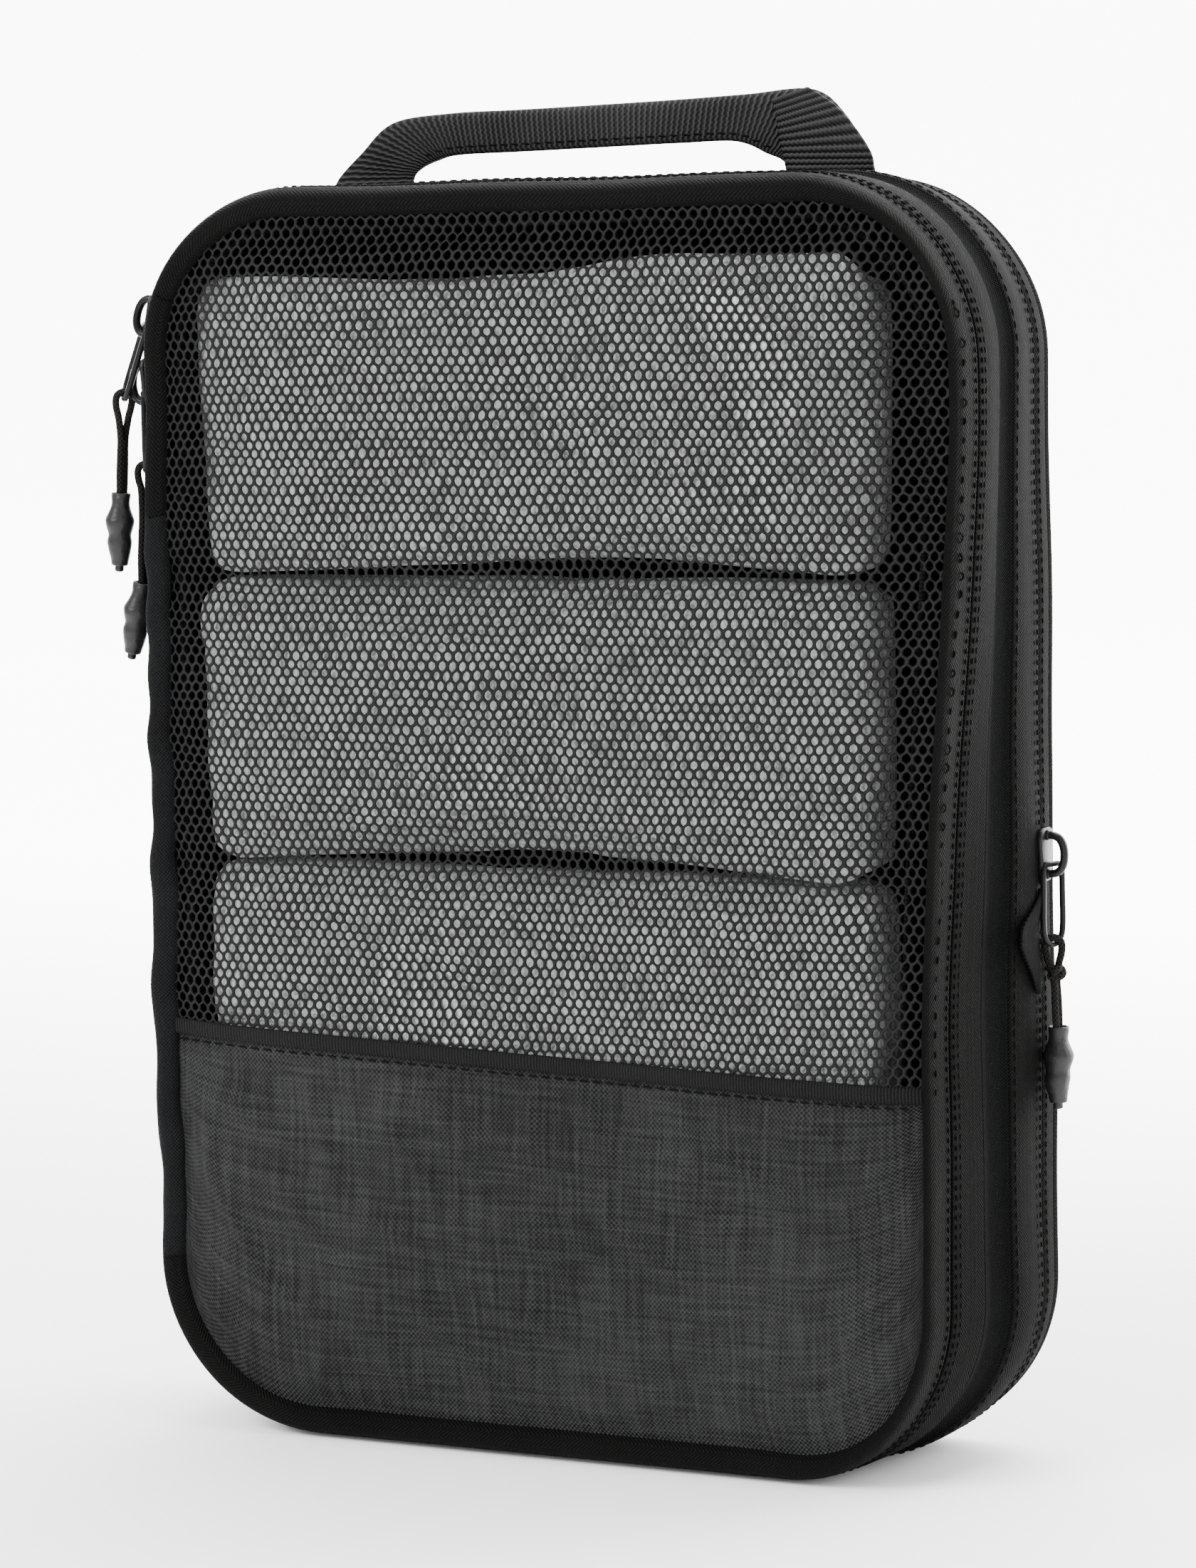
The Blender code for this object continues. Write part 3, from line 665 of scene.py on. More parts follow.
def level_stitches(name, centres, ahead, size, body):
    """Stitches that lie upright to the front, in one direction."""
    along, across, up = (np.tile(axis, (len(centres), 1)) * length
                         for axis, length in zip((ahead, (0, 0, 1.0), (0, 1.0, 0)), size))
    scatter(name, rounded_bar(), centres, along, across, up, "stitch", body)


def coil(name, y, side, body, node, first=0.0, last=None):
    """One half of a zip chain: nylon bars lying across the tape's edge. side is -1 for the front half."""
    s, _ = stations(first, last, 1.5 * MM)
    s = s + (0.375 * MM * side)
    points, ahead, across, outward = rim_frames(s, -2.4 * MM, y + side * 0.75 * MM)
    tilt = ahead * 0.12 * side
    obj = scatter(name, rounded_bar(), points, (across + tilt) * 2.7 * MM, ahead * 0.52 * MM, outward * 0.85 * MM,
                  "coil", body)
    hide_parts(node)


# The front face


def inside(x, z):
    """Distance from (x, z) in to the panel's edge; negative outside it."""
    r = CORNER_R - RIM_IN
    shift = (RIM_IN - RIM_IN_RIGHT) / 2
    qx = np.abs(x - shift) - (HALF_W - RIM_IN + shift - r)
    qz = np.abs(z - HEIGHT / 2) - (HEIGHT / 2 - RIM_IN - r)
    far = np.hypot(np.maximum(qx, 0), np.maximum(qz, 0))
    return r - far - np.minimum(np.maximum(qx, qz), 0)


def seam_z(x):
    return SEAM_Z - SEAM_SLOPE * x


def fold_z(x, which):
    """The height of the gap between two garments along the front."""
    if which == 2:
        return 233.5 * MM + 2.2 * MM * np.sin(x / (24 * MM)) + 0.02 * x
    return 157.0 * MM + 1.8 * MM * np.sin(x / (30 * MM) + 2.0) - 0.01 * x


def front_y(x, z):
    """The panel's depth: crowned by the clothes, hollow between them and slack above them."""
    depth = np.maximum(inside(x, z), 0)
    crown = 6.6 * MM * (1 - np.exp(-depth / (17 * MM)))
    folds = 1.5 * MM * np.exp(-(((z - fold_z(x, 1)) / (6 * MM)) ** 2))
    folds += 1.9 * MM * np.exp(-(((z - fold_z(x, 2)) / (7 * MM)) ** 2))
    edge = smoothstep(depth, 0, 8 * MM)
    slack = 3.2 * MM * smoothstep(z, 317 * MM, 328 * MM) * edge
    slack += 2.6 * MM * smoothstep(x, 88 * MM, 103 * MM) * smoothstep(z, 120 * MM, 150 * MM) * edge
    ripple = 0.55 * MM * waves(upright_points(x, z), 34 * MM, 11).reshape(np.shape(x)) * smoothstep(depth, 0, 12 * MM)
    return Y_RIM - crown + folds + slack + ripple


def net():
    """The lid's open net: oval holes between heavy upright legs and thin slanting ones, in two halves."""
    pitch_x, leg, slant = 3.0 * MM, 1.12 * MM, 1.30 * MM
    pitch_z = leg + slant
    top = leg / 2 + slant
    outer = np.array(((0, top), (pitch_x / 2, leg / 2), (pitch_x / 2, 0), (pitch_x / 2, -leg / 2), (0, -top),
                      (-pitch_x / 2, -leg / 2), (-pitch_x / 2, 0), (-pitch_x / 2, leg / 2)))
    hole = np.array(((0, 1.22), (0.76, 0.70), (0.98, 0), (0.76, -0.70), (0, -1.22), (-0.76, -0.70), (-0.98, 0),
                     (-0.76, 0.70))) * MM
    first_z, height, columns = 98 * MM, 240 * MM, 41
    under_tape, under_seam = 3.6 * MM, 1.5 * MM
    centres = []
    for row in range(int(height / pitch_z)):
        for col in range(-columns, columns + 1):
            centres.append((col * pitch_x + (pitch_x / 2 if row % 2 else 0.0), first_z + row * pitch_z))
    centres = np.array(centres)
    x, z = centres.T
    centres = centres[(inside(x, z) > -under_tape) & (z > seam_z(x) - under_seam)]
    for side, name in ((-1, "lid_net_left"), (1, "lid_net_right")):
        cells = centres[(centres[:, 0] * side > 0) | ((side > 0) & (centres[:, 0] == 0))]
        corners = cells[:, None] + outer[None]
        rounded = np.round(corners.reshape(-1, 2) / (0.05 * MM)).astype(int)
        keys, index = np.unique(rounded, axis=0, return_inverse=True)
        index = index.reshape(-1, 8)
        lattice = np.zeros((len(keys), 2))
        lattice[index.ravel()] = corners.reshape(-1, 2)
        rng = np.random.default_rng(5)
        size = 1 + 0.05 * rng.normal(size=(len(cells), 1, 1))
        holes = (cells[:, None] + hole[None] * size).reshape(-1, 2)
        flat = np.concatenate((lattice, lattice, holes))
        bulge = 0.34 * MM + 0.06 * MM * np.sin(lattice[:, 0] * 4100) * np.sin(lattice[:, 1] * 5300)
        thick = np.concatenate((-bulge, bulge, np.zeros(len(holes))))
        drift = upright_points(flat[:, 0], flat[:, 1])
        x = flat[:, 0] + 0.42 * MM * waves(drift, 8 * MM, 21)
        z = flat[:, 1] + 0.42 * MM * waves(drift, 8 * MM, 22)
        points = slump(np.stack((x, front_y(x, z) + thick, z), 1))
        faces = []
        back, first_hole = len(lattice), 2 * len(lattice)
        for cell in range(len(cells)):
            base = first_hole + 8 * cell
            for k in range(8):
                n = (k + 1) % 8
                a, b = int(index[cell, k]), int(index[cell, n])
                faces.append((a, b, base + n, base + k))
                faces.append((base + k, base + n, back + b, back + a))
        obj = mesh_object(name, points, faces, "net")
        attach(obj, "lid")
        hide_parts("mesh_window")


def lower_panel():
    """The woven panel under the seam, with the wrinkles of cloth that nothing fills."""
    us = np.linspace(-1, 1, 151)
    vs = np.linspace(0, 1, 81)
    tucked = 1.2 * MM
    reach_x = HALF_W - RIM_IN + tucked
    right = HALF_W - RIM_IN_RIGHT + tucked
    grid = np.zeros((len(us), len(vs), 3))
    for i, u in enumerate(us):
        x = u * (right if u > 0 else reach_x)
        corner = max(0.0, abs(x) - (HALF_W - CORNER_R))
        inset = RIM_IN + (RIM_IN_RIGHT - RIM_IN) * float(smoothstep(x, *LID_EDGE_SHIFT)) - tucked
        r = CORNER_R - inset
        bottom = CORNER_R - math.sqrt(max(r * r - min(corner, r * 0.999) ** 2, 0))
        if corner == 0:
            bottom = inset
        top = seam_z(x) + 0.6 * MM
        z = bottom + vs * (top - bottom)
        grid[i, :, 0] = x
        grid[i, :, 2] = z
    x, z = grid[:, :, 0], grid[:, :, 2]
    y = front_y(x, z)
    flat = upright_points(x, z)
    slant = flat @ np.array(((1.0, 0, 0.35), (0, 1, 0), (0.2, 0, 1.6)))
    depth = smoothstep(inside(x, z), 0, 12 * MM) * smoothstep(seam_z(x) - z, 3 * MM, 16 * MM)
    crease = np.abs(waves(slant, 22 * MM, 31).reshape(x.shape))
    y += depth * (1.6 * MM * waves(flat, 26 * MM, 30).reshape(x.shape) - 1.8 * MM * (1 - crease) ** 3)
    grid[:, :, 1] = y + 0.25 * MM
    grid = slump(grid.reshape(-1, 3)).reshape(grid.shape)
    obj = surface("lower_panel_cloth", grid, "panel", us * reach_x, vs * 0.1)
    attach(obj, "lid")
    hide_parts("lower_front_panel")


def seam_strip():
    """The folded strip over the net's lower edge, sewn down with one row of long stitches."""
    xs = np.linspace(-HALF_W + RIM_IN - 1 * MM, HALF_W - RIM_IN_RIGHT + 1 * MM, 160)
    profile = smooth_profile(((-0.1, 2.1), (-0.95, 1.8), (-1.25, 0.6), (-1.15, -0.8), (-0.95, -1.9),
                              (-0.2, -2.5)), 3) * MM
    grid = np.zeros((len(xs), len(profile), 3))
    for j, (dy, dz) in enumerate(profile):
        z = seam_z(xs) + dz - 1.0 * MM
        grid[:, j] = np.stack((xs, front_y(xs, z) + dy, z), 1)
    ripple = 0.22 * MM * waves(grid.reshape(-1, 3), 8 * MM, 41).reshape(grid.shape[:2])
    grid[:, :, 1] += ripple
    grid = slump(grid.reshape(-1, 3)).reshape(grid.shape)
    strip = surface("seam_strip_cloth", grid, "seam", xs, lengths(profile))
    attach(strip, "lid")
    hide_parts("panel_seam_strip")
    at = np.arange(xs[0] + 4 * MM, xs[-1] - 3 * MM, 4.0 * MM)
    z = seam_z(at) - 4.6 * MM
    centres = slump(np.stack((at, front_y(at, z) - 0.35 * MM, z), 1))
    level_stitches("panel_stitches", centres, (1.0, 0, -0.06), (3.0 * MM, 0.32 * MM, 0.22 * MM), "lid")


# Zips and walls


def rim_in_at(s):
    """The tape covers less of the panel down the right side."""
    place, _ = rim(s)
    right = smoothstep(place[:, 0], *LID_EDGE_SHIFT)
    return RIM_IN + (RIM_IN_RIGHT - RIM_IN) * right


def front_roll(s, tail=((-0.35 * MM, Y_ZIP - ZIP_GAP),)):
    """The front tape's profile at each station: rolled over the panel's edge like piping."""
    loops = []
    for inset in rim_in_at(s):
        k = inset / RIM_IN
        outer = [
            (-inset - 0.6 * MM, Y_RIM + 0.6 * MM),
            (-inset + 0.4 * MM, Y_RIM - 1.6 * MM),
            (-inset * 0.62, Y_RIM - 3.0 * MM),
            (-inset * 0.36, Y_RIM - 2.6 * MM),
            (-1.5 * MM * k, Y_RIM - 0.6 * MM),
            (-0.5 * MM, Y_RIM + 2.6 * MM),
            (-0.5 * MM, (Y_RIM + Y_ZIP) / 2 + 1.2 * MM),
        ]
        outer += tail
        loops.append(band(smooth_profile(outer, 3)))
    return np.array(loops)


def hinge_shape(s):
    """The front roll carried on over the zip to the side wall."""
    return front_roll(s, ((-0.2 * MM, Y_ZIP - 0.5 * MM), (0.3 * MM, Y_ZIP + 5 * MM), (-0.1 * MM, Y_WALL - WALL_HALF)))


def main_zip():
    """Both tapes and the chain of the main zip, and the cloth that hinges the lid below them."""
    end = LOOP - 0.4 * MM
    lid_s = S_LID_START + 0.3 * MM
    ring("lid_zip_tape", front_roll, "front_tape", "lid", "front_main_tape", lid_s, end)
    side = ring("hinge_zip_tape", front_roll, "front_tape", None, "hinge_side_main_tape", S_HINGE_TOP, S_LID_START)
    cloth = ring("hinge_cloth", hinge_shape, "hinge", None, "hinge_panel", -0.9 * MM, S_HINGE_TOP + 1.0 * MM, 2.0 * MM)
    crumple(cloth)
    for piece in (side, cloth):
        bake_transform(piece)
    rear = smooth_profile(((-0.4 * MM, Y_ZIP + ZIP_GAP), (-0.1 * MM, Y_ZIP + 3 * MM), (0.25 * MM, Y_ZIP + 8 * MM),
                           (0.0, Y_WALL - WALL_HALF - 0.4 * MM)), 3)
    ring("body_zip_tape", band(rear), "tape", "case_body", "rear_main_tape", S_HINGE_TOP, end)
    coil("lid_coil", Y_ZIP, -1, "lid", "front_main_coil", lid_s, end)
    coil("hinge_coil", Y_ZIP, -1, "case_body", "hinge_side_main_coil", S_HINGE_TOP, S_LID_START)
    coil("body_coil", Y_ZIP, 1, "case_body", "rear_main_coil", S_HINGE_TOP, end)
    stitches("lid_tape_stitches", -0.16 * MM, Y_ZIP - 2.1 * MM, "lid", lid_s, end, **TAPE_STITCH)
    for k, y in enumerate((2.0, 4.0)):
        stitches(f"body_tape_stitches_{k}", 0.02 * MM, Y_ZIP + y * MM, "case_body", S_HINGE_TOP, end, **TAPE_STITCH)


def crumple(obj):
    """The hinge cloth's short waves, where the seam has been eased."""
    co = vertices(obj.data)
    wave = waves(co * np.array((0.6, 0.6, 1.0)), 7 * MM, 51) * 0.75 * MM + waves(co, 20 * MM, 52) * 0.8 * MM
    fade = smoothstep(co[:, 2], CORNER_R, CORNER_R + 15 * MM)
    fade *= smoothstep(-co[:, 2], -HINGE_TOP_Z, -HINGE_TOP_Z + 12 * MM)
    ends = smoothstep(-co[:, 1], -(Y_WALL - WALL_HALF), -(Y_WALL - WALL_HALF) + 4 * MM)
    co[:, 0] -= wave * fade * ends
    put_vertices(obj.data, co)


def side_walls():
    """The narrow wall, and the compression zip with its tapes, stitches and the piping behind it."""
    y0, y1 = Y_WALL - WALL_HALF + 0.1 * MM, Y_WALL + WALL_HALF - 0.1 * MM
    tuck = smooth_profile(((-0.2 * MM, y0), (-0.7 * MM, y0 + 1.2 * MM), (-1.9 * MM, Y_WALL - 0.5 * MM),
                           (-1.2 * MM, y1 - 1.6 * MM), (-0.1 * MM, y1)), 3)
    ring("side_wall_cloth", band(tuck, 0.7 * MM), "wall", "case_body", "side_gusset")
    c0, c1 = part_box("front_compression_tape")[0].y, Y_COMP_ZIP - ZIP_GAP
    front = smooth_profile(((-0.3 * MM, c0), (0.5 * MM, c0 + 1.0 * MM), (0.7 * MM, c0 + 5 * MM),
                            (0.4 * MM, c0 + 10 * MM), (-0.2 * MM, c1)), 3)
    ring("compression_tape_cloth", band(front), "tape", "case_body", "front_compression_tape")
    stitches("compression_edge_stitches", 0.62 * MM, c0 + 1.7 * MM, "case_body", **EDGE_STITCH)
    for k, y in enumerate((2.0, 4.2)):
        stitches(f"compression_tape_stitches_{k}", 0.05 * MM + 0.04 * k * MM, Y_COMP_ZIP - y * MM, "case_body",
                 **TAPE_STITCH)
    rear = smooth_profile(((-0.6 * MM, Y_COMP_ZIP + ZIP_GAP), (-0.2 * MM, Y_COMP_ZIP + 3 * MM),
                           (-0.5 * MM, Y_PIPING - 2.5 * MM)), 4)
    ring("back_tape_cloth", band(rear), "tape", "back", "rear_compression_tape")
    stitches("back_tape_stitches", -0.2 * MM, Y_COMP_ZIP + 2.4 * MM, "back", **TAPE_STITCH)
    coil("compression_coil", Y_COMP_ZIP, -1, "case_body", "front_compression_coil")
    coil("back_coil", Y_COMP_ZIP, 1, "back", "rear_compression_coil")
    pipe = oval(-3.0 * MM, Y_PIPING, 2.55 * MM, -2.45 * MM, 12)
    ring("back_piping_cloth", pipe[::-1], "piping", "back", "back_piping", step=2.5 * MM)


def oval(out, y, half_out, half_y, sides=10):
    """An oval profile about (out, y)."""
    turn = np.linspace(0, TURN, sides + 1)[:-1]
    return np.stack((out + half_out * np.cos(turn), y + half_y * np.sin(turn)), 1)


def inner_layers():
    """Bound seam allowances, and the pleated wall that the compression zip gathers."""
    for name, node, y in (("front_binding_tape", "front_seam_binding", Y_WALL - WALL_HALF),
                          ("rear_binding_tape", "rear_seam_binding", Y_WALL + WALL_HALF)):
        ring(name, oval(-4.6 * MM, y, 3.0 * MM, 0.75 * MM), "piping", "case_body", node, step=4 * MM)
    y = middle_y("lid_seam_binding")
    ring("lid_binding_tape", oval(-11.2 * MM, y, 0.8 * MM, 2.2 * MM), "piping", "lid", "lid_seam_binding", step=4 * MM)
    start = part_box("front_compression_tape")[0].y + 2.2 * MM
    pleat = smooth_profile(((-2.0 * MM, start), (-6.5 * MM, start + 4 * MM), (-15 * MM, start + 6.2 * MM),
                            (-17.4 * MM, start + 8.6 * MM), (-15 * MM, start + 10.6 * MM),
                            (-8.5 * MM, start + 12.2 * MM), (-6.6 * MM, start + 17 * MM),
                            (-6.4 * MM, Y_PIPING - 2.2 * MM)), 3)
    wall = ring("pleated_wall_cloth", band(pleat, 0.6 * MM), "wall", None, "expansion_gusset", step=4 * MM)
    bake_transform(wall)


def back_panel():
    """The back: one sheet of charcoal cloth, crowned and a little slack."""
    rows = np.concatenate((np.linspace(0, 0.12, 7)[:-1], np.linspace(0.12, 1.0, 26)))
    s, _ = stations(step=4 * MM)
    edge, out = rim(s)
    edge = edge + out * (-5.6 * MM)
    centre = np.array((0, HEIGHT / 2))
    grid = np.zeros((len(rows), len(s), 3))
    for i, t in enumerate(rows):
        ringed = edge + (centre - edge) * min(t, 0.995)
        grid[i, :, 0] = ringed[:, 0]
        grid[i, :, 2] = ringed[:, 1]
    level = 1 - rows[:, None]
    crown = (Y_BACK - Y_PIPING - 0.6 * MM) * (1 - level ** 3) ** 0.8
    flat = grid.reshape(-1, 3)
    soft = smoothstep(rows, 0, 0.2)[:, None]
    wrinkle = 0.9 * MM * waves(flat, 40 * MM, 61) + 0.45 * MM * waves(flat * np.array((1.6, 1, 0.7)), 16 * MM, 62)
    grid[:, :, 1] = Y_PIPING + crown - 0.7 * MM * soft + wrinkle.reshape(crown.shape[0], -1) * soft
    grid[:, :, 1] = np.minimum(grid[:, :, 1], Y_BACK + 1.5 * MM)
    grid = ease(grid)
    obj = mesh_from_rows("back_panel_cloth", grid, "hinge")
    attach(obj, "back")
    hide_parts("back_panel")


def mesh_from_rows(name, grid, look):
    """Rings of points, outermost first, closed in the middle. UVs are the points' own x and z."""
    rows, cols = grid.shape[:2]
    points = np.concatenate((grid.reshape(-1, 3), grid[-1].mean(axis=0)[None]))
    faces = []
    for i in range(rows - 1):
        for j in range(cols):
            k = (j + 1) % cols
            faces.append((i * cols + j, i * cols + k, (i + 1) * cols + k, (i + 1) * cols + j))
    last = (rows - 1) * cols
    for j in range(cols):
        faces.append((last + j, last + (j + 1) % cols, rows * cols))
    uvs = [(points[i][0], points[i][2]) for face in faces for i in face]
    return mesh_object(name, points, faces, look, uvs=uvs)


# Handle


def handle():
    """25 mm webbing, sewn in flat at both ends and folded in half along its grip."""
    box_low, box_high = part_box("handle_webbing")
    half = WEBBING_HALF
    left, right = box_low.x + half, box_high.x - half
    base = HEIGHT - 3.5 * MM
    low = HEIGHT + 2 * MM
    inner, outer = HEIGHT + 8.2 * MM, HEIGHT + 19.6 * MM
    outer_edge = smooth_profile((
        (left - half, base), (left - half + 1.0 * MM, low), (left - half + 8.5 * MM, low + 7.4 * MM),
        (left + 6.0 * MM, outer - 2.0 * MM), (left + 24 * MM, outer + 0.1 * MM), (left + 47 * MM, outer + 0.4 * MM),
        (0.0, outer + 1.0 * MM), (right - 42 * MM, outer + 1.5 * MM), (right - 24 * MM, outer + 2.2 * MM),
        (right - 5.5 * MM, outer + 2.9 * MM), (right + 4 * MM, outer - 4.0 * MM),
        (right + half - 1.0 * MM, low + 1.5 * MM), (right + half, base)), 8)
    inner_edge = smooth_profile((
        (left + half, base), (left + half, low), (left + half + 2.5 * MM, low + 3 * MM),
        (left + 20 * MM, inner - 1.2 * MM), (left + 27 * MM, inner), (left + 48 * MM, inner + 0.3 * MM),
        (0.0, inner + 0.8 * MM), (right - 44 * MM, inner + 1.1 * MM), (right - 27 * MM, inner + 1.0 * MM),
        (right - 18 * MM, inner - 2.6 * MM), (right - 14.5 * MM, low + 2.2 * MM), (right - half, low),
        (right - half, base)), 8)
    count = len(outer_edge)
    t = np.linspace(0, 1, count)
    doubled = smoothstep(t, 0.10, 0.26) * smoothstep(-t, -0.90, -0.76)
    loops = np.zeros((count, 18, 3))
    for k in range(count):
        thick = 1.4 * MM + 2.0 * MM * doubled[k]
        notch = 0.5 * MM + 1.4 * MM * doubled[k]
        a = np.array((outer_edge[k][0], 0, outer_edge[k][1]))
        b = np.array((inner_edge[k][0], 0, inner_edge[k][1]))
        across = (b - a) / np.linalg.norm(b - a)
        width = np.linalg.norm(b - a)
        depth = np.array((0, 1.0, 0))
        curve = 0.9 * MM * math.sin(math.pi * t[k] * 3)
        h = thick / 2
        section = (
            (0.0, 0.0), (0.25 * h, -0.62 * h), (0.8 * h, -h), (0.25 * width, -h * 1.06), (0.5 * width, -h * 1.02),
            (0.75 * width, -h * 0.95), (width - 0.6 * h, -h * 0.9), (width - 0.1 * h, -h * 0.62),
            (width - 0.1 * h, -h * 0.2), (width - notch, 0.0), (width - 0.1 * h, h * 0.2), (width - 0.1 * h, h * 0.62),
            (width - 0.6 * h, h * 0.9), (0.75 * width, h * 0.95), (0.5 * width, h * 1.02), (0.25 * width, h * 1.06),
            (0.8 * h, h), (0.25 * h, 0.62 * h))
        for j, (w, d) in enumerate(section):
            loops[k, j] = a + across * w + depth * (d + Y_HANDLE + curve * doubled[k])
    u = lengths((outer_edge + inner_edge) / 2)
    v = lengths(loops[count // 2][:, (0, 2)], closed=True)
    obj = surface("handle_cloth", loops, "webbing", u, v, wrap_v=True, cap=True, flip=True)
    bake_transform(obj)
    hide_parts("handle_webbing", "handle_left_end", "handle_right_end")
    flap(right, half, low, outer)
    grip = np.flatnonzero(doubled[:-1] >= 0.8)
    path = np.stack((inner_edge[grip, 0], np.full(len(grip), Y_HANDLE), inner_edge[grip, 1] + 2.2 * MM), 1)
    at = np.arange(0, lengths(path)[-1], 3.4 * MM)
    along = np.stack([np.interp(at, lengths(path), path[:, i]) for i in range(3)], 1)
    place = np.interp(at, lengths(path), t[grip])
    for name, side in (("handle_front_stitches", -1), ("handle_back_stitches", 1)):
        centres = along.copy()
        centres[:, 1] += side * 1.72 * MM + 0.9 * MM * np.sin(math.pi * place * 3)
        level_stitches(name, centres, (1.0, 0, -0.10), (2.5 * MM, 0.26 * MM, 0.26 * MM), "handle")


def flap(right, half, low, outer):
    """The right end's webbing, turned over in front of the folded grip."""
    left_edge = smooth_profile(((right - half + 0.6 * MM, low - 3 * MM), (right - half - 0.6 * MM, low + 4 * MM),
                                (right - half - 1.8 * MM, low + 11 * MM),
                                (right - half - 3.2 * MM, outer + 0.4 * MM)), 6)
    right_edge = smooth_profile(((right + half - 0.4 * MM, low - 3 * MM), (right + half - 0.8 * MM, low + 3.5 * MM),
                                 (right + 3.5 * MM, outer - 3.0 * MM), (right - 5.5 * MM, outer + 3.3 * MM)), 6)
    count, steps = len(left_edge), 15
    grid = np.zeros((count, 2 * steps, 3))
    for i in range(count):
        t = i / (count - 1)
        for j in range(steps):
            w = j / (steps - 1)
            x, z = left_edge[i] * (1 - w) + right_edge[i] * w
            y = Y_HANDLE - 1.9 * MM - 1.1 * MM * t - 0.6 * MM * math.sin(math.pi * w) * t
            grid[i, j] = (x, y, z)
            grid[i, 2 * steps - 1 - j] = (x, y + 1.1 * MM, z)
    obj = surface("handle_fold_over", grid, "webbing", lengths(left_edge), lengths(grid[0][:, (0, 1)], closed=True),
                  wrap_v=True, cap=True)
    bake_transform(obj)


# Sliders and pulls


def tube_mesh(name, route, radius, look, sides=12, closed=False, squash=1.0):
    """A swept tube with UVs round and along it. radius may be one value for each point."""
    route = np.asarray(route, float)
    count = len(route)
    radius = np.broadcast_to(np.asarray(radius, float), (count,))
    if closed:
        ahead = np.roll(route, -1, 0) - np.roll(route, 1, 0)
    else:
        ahead = np.gradient(route, axis=0)
    ahead /= np.linalg.norm(ahead, axis=1)[:, None]
    side = np.cross(ahead[0], (0.0, 1.0, 0.05))
    side /= np.linalg.norm(side)
    grid = np.zeros((count, sides, 3))
    turn = np.linspace(0, TURN, sides, endpoint=False)
    for k in range(count):
        side = side - ahead[k] * np.dot(side, ahead[k])
        side /= np.linalg.norm(side)
        other = np.cross(ahead[k], side)
        ring_points = np.cos(turn)[:, None] * side * squash + np.sin(turn)[:, None] * other
        grid[k] = route[k] + ring_points * radius[k]
    u = lengths(route, closed=closed)
    v = np.linspace(0, TURN * float(radius.mean()), sides + 1)
    return surface(name, grid, look, u, v, wrap_u=closed, wrap_v=True, cap=not closed, flip=True)


def join(objects, name):
    """One mesh object out of several that share a material."""
    bm = bmesh.new()
    for obj in objects:
        data = obj.data.copy()
        data.transform(obj.matrix_world)
        bm.from_mesh(data)
    made = from_bmesh(name, bm, objects[0].data.materials[0])
    smooth(made.data)
    slot = objects[0]["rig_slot"]
    for obj in objects:
        bpy.data.objects.remove(obj, do_unlink=True)
    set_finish(made, slot)
    return made


def bevelled_plate(name, outline, low, high, bevel, segments=3):
    """A plate of that outline in local X and Y with rounded edges."""
    bm = bmesh.new()
    base = [bm.verts.new((x, y, low)) for x, y in outline]
    face = bm.faces.new(base)
    raised = bmesh.ops.extrude_face_region(bm, geom=[face])
    top = [v for v in raised["geom"] if isinstance(v, bmesh.types.BMVert)]
    bmesh.ops.translate(bm, vec=(0, 0, high - low), verts=top)
    bmesh.ops.recalc_face_normals(bm, faces=bm.faces)
    bmesh.ops.bevel(bm, geom=list(bm.edges), offset=bevel, segments=segments, affect="EDGES", profile=0.5,
                    clamp_overlap=True)
    obj = from_bmesh(name, bm, LOOKS["metal"])
    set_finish(obj, "metal")
    return obj


def mirrored(points):
    """A closed outline in metres from one half of it in millimetres."""
    half = [(x * MM, y * MM) for x, y in points]
    return half + [(x, -y) for x, y in reversed(half)]


def slider(name, place, body, node):
    """Shoulders at local +X, where the two tapes part, and a bridge that the puller hangs from."""
    outer = mirrored(((7.0, 2.4), (6.4, 3.9), (4.4, 4.5), (1.0, 4.0), (-3.0, 3.5), (-6.4, 3.2), (-7.0, 2.2)))
    inner = mirrored(((5.4, 2.6), (4.6, 4.0), (1.0, 3.8), (-4.2, 3.3), (-5.2, 2.4)))
    post = [(2.2 * MM, 0.32 * MM), (-2.0 * MM, 0.2 * MM), (-2.0 * MM, -0.2 * MM), (2.2 * MM, -0.32 * MM)]
    bridge_half, bridge_steps = 5.1 * MM, 24
    parts = [
        bevelled_plate(name + "_outer", outer, 0.35 * MM, 1.75 * MM, 0.45 * MM),
        bevelled_plate(name + "_inner", inner, -5.6 * MM, -4.5 * MM, 0.3 * MM, 2),
        bevelled_plate(name + "_post", post, -4.8 * MM, 0.8 * MM, 0.05 * MM, 1),
    ]
    arch = []
    for k in range(bridge_steps + 1):
        turn = math.pi * k / bridge_steps
        arch.append((-bridge_half * math.cos(turn), 0.0, 1.0 * MM + 5.4 * MM * max(math.sin(turn), 0.0) ** 0.5))
    parts.append(tube_mesh(name + "_bridge", arch, 1.3 * MM, "metal", 12, squash=0.82))
    for end in (-1, 1):
        foot = [(end * bridge_half + x, y) for x, y in mirrored(((1.3, 0.9), (0.4, 1.5), (-0.4, 1.5), (-1.3, 0.9)))]
        parts.append(bevelled_plate(name + f"_foot{end}", foot, 1.4 * MM, 2.5 * MM, 0.35 * MM, 2))
    shell = join(parts, name)
    set_down(shell, place)
    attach(shell, body)
    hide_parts(node)


def station(side, y, z):
    """A frame on a side wall: local +Z points out of the wall and local +X up along the zip."""
    out_axis = Vector((side, 0, 0))
    up_axis = Vector((0, 0, 1))
    turn = Matrix((up_axis, out_axis.cross(up_axis), out_axis)).transposed().to_4x4()
    return Matrix.Translation((side * HALF_W, y, z)) @ turn


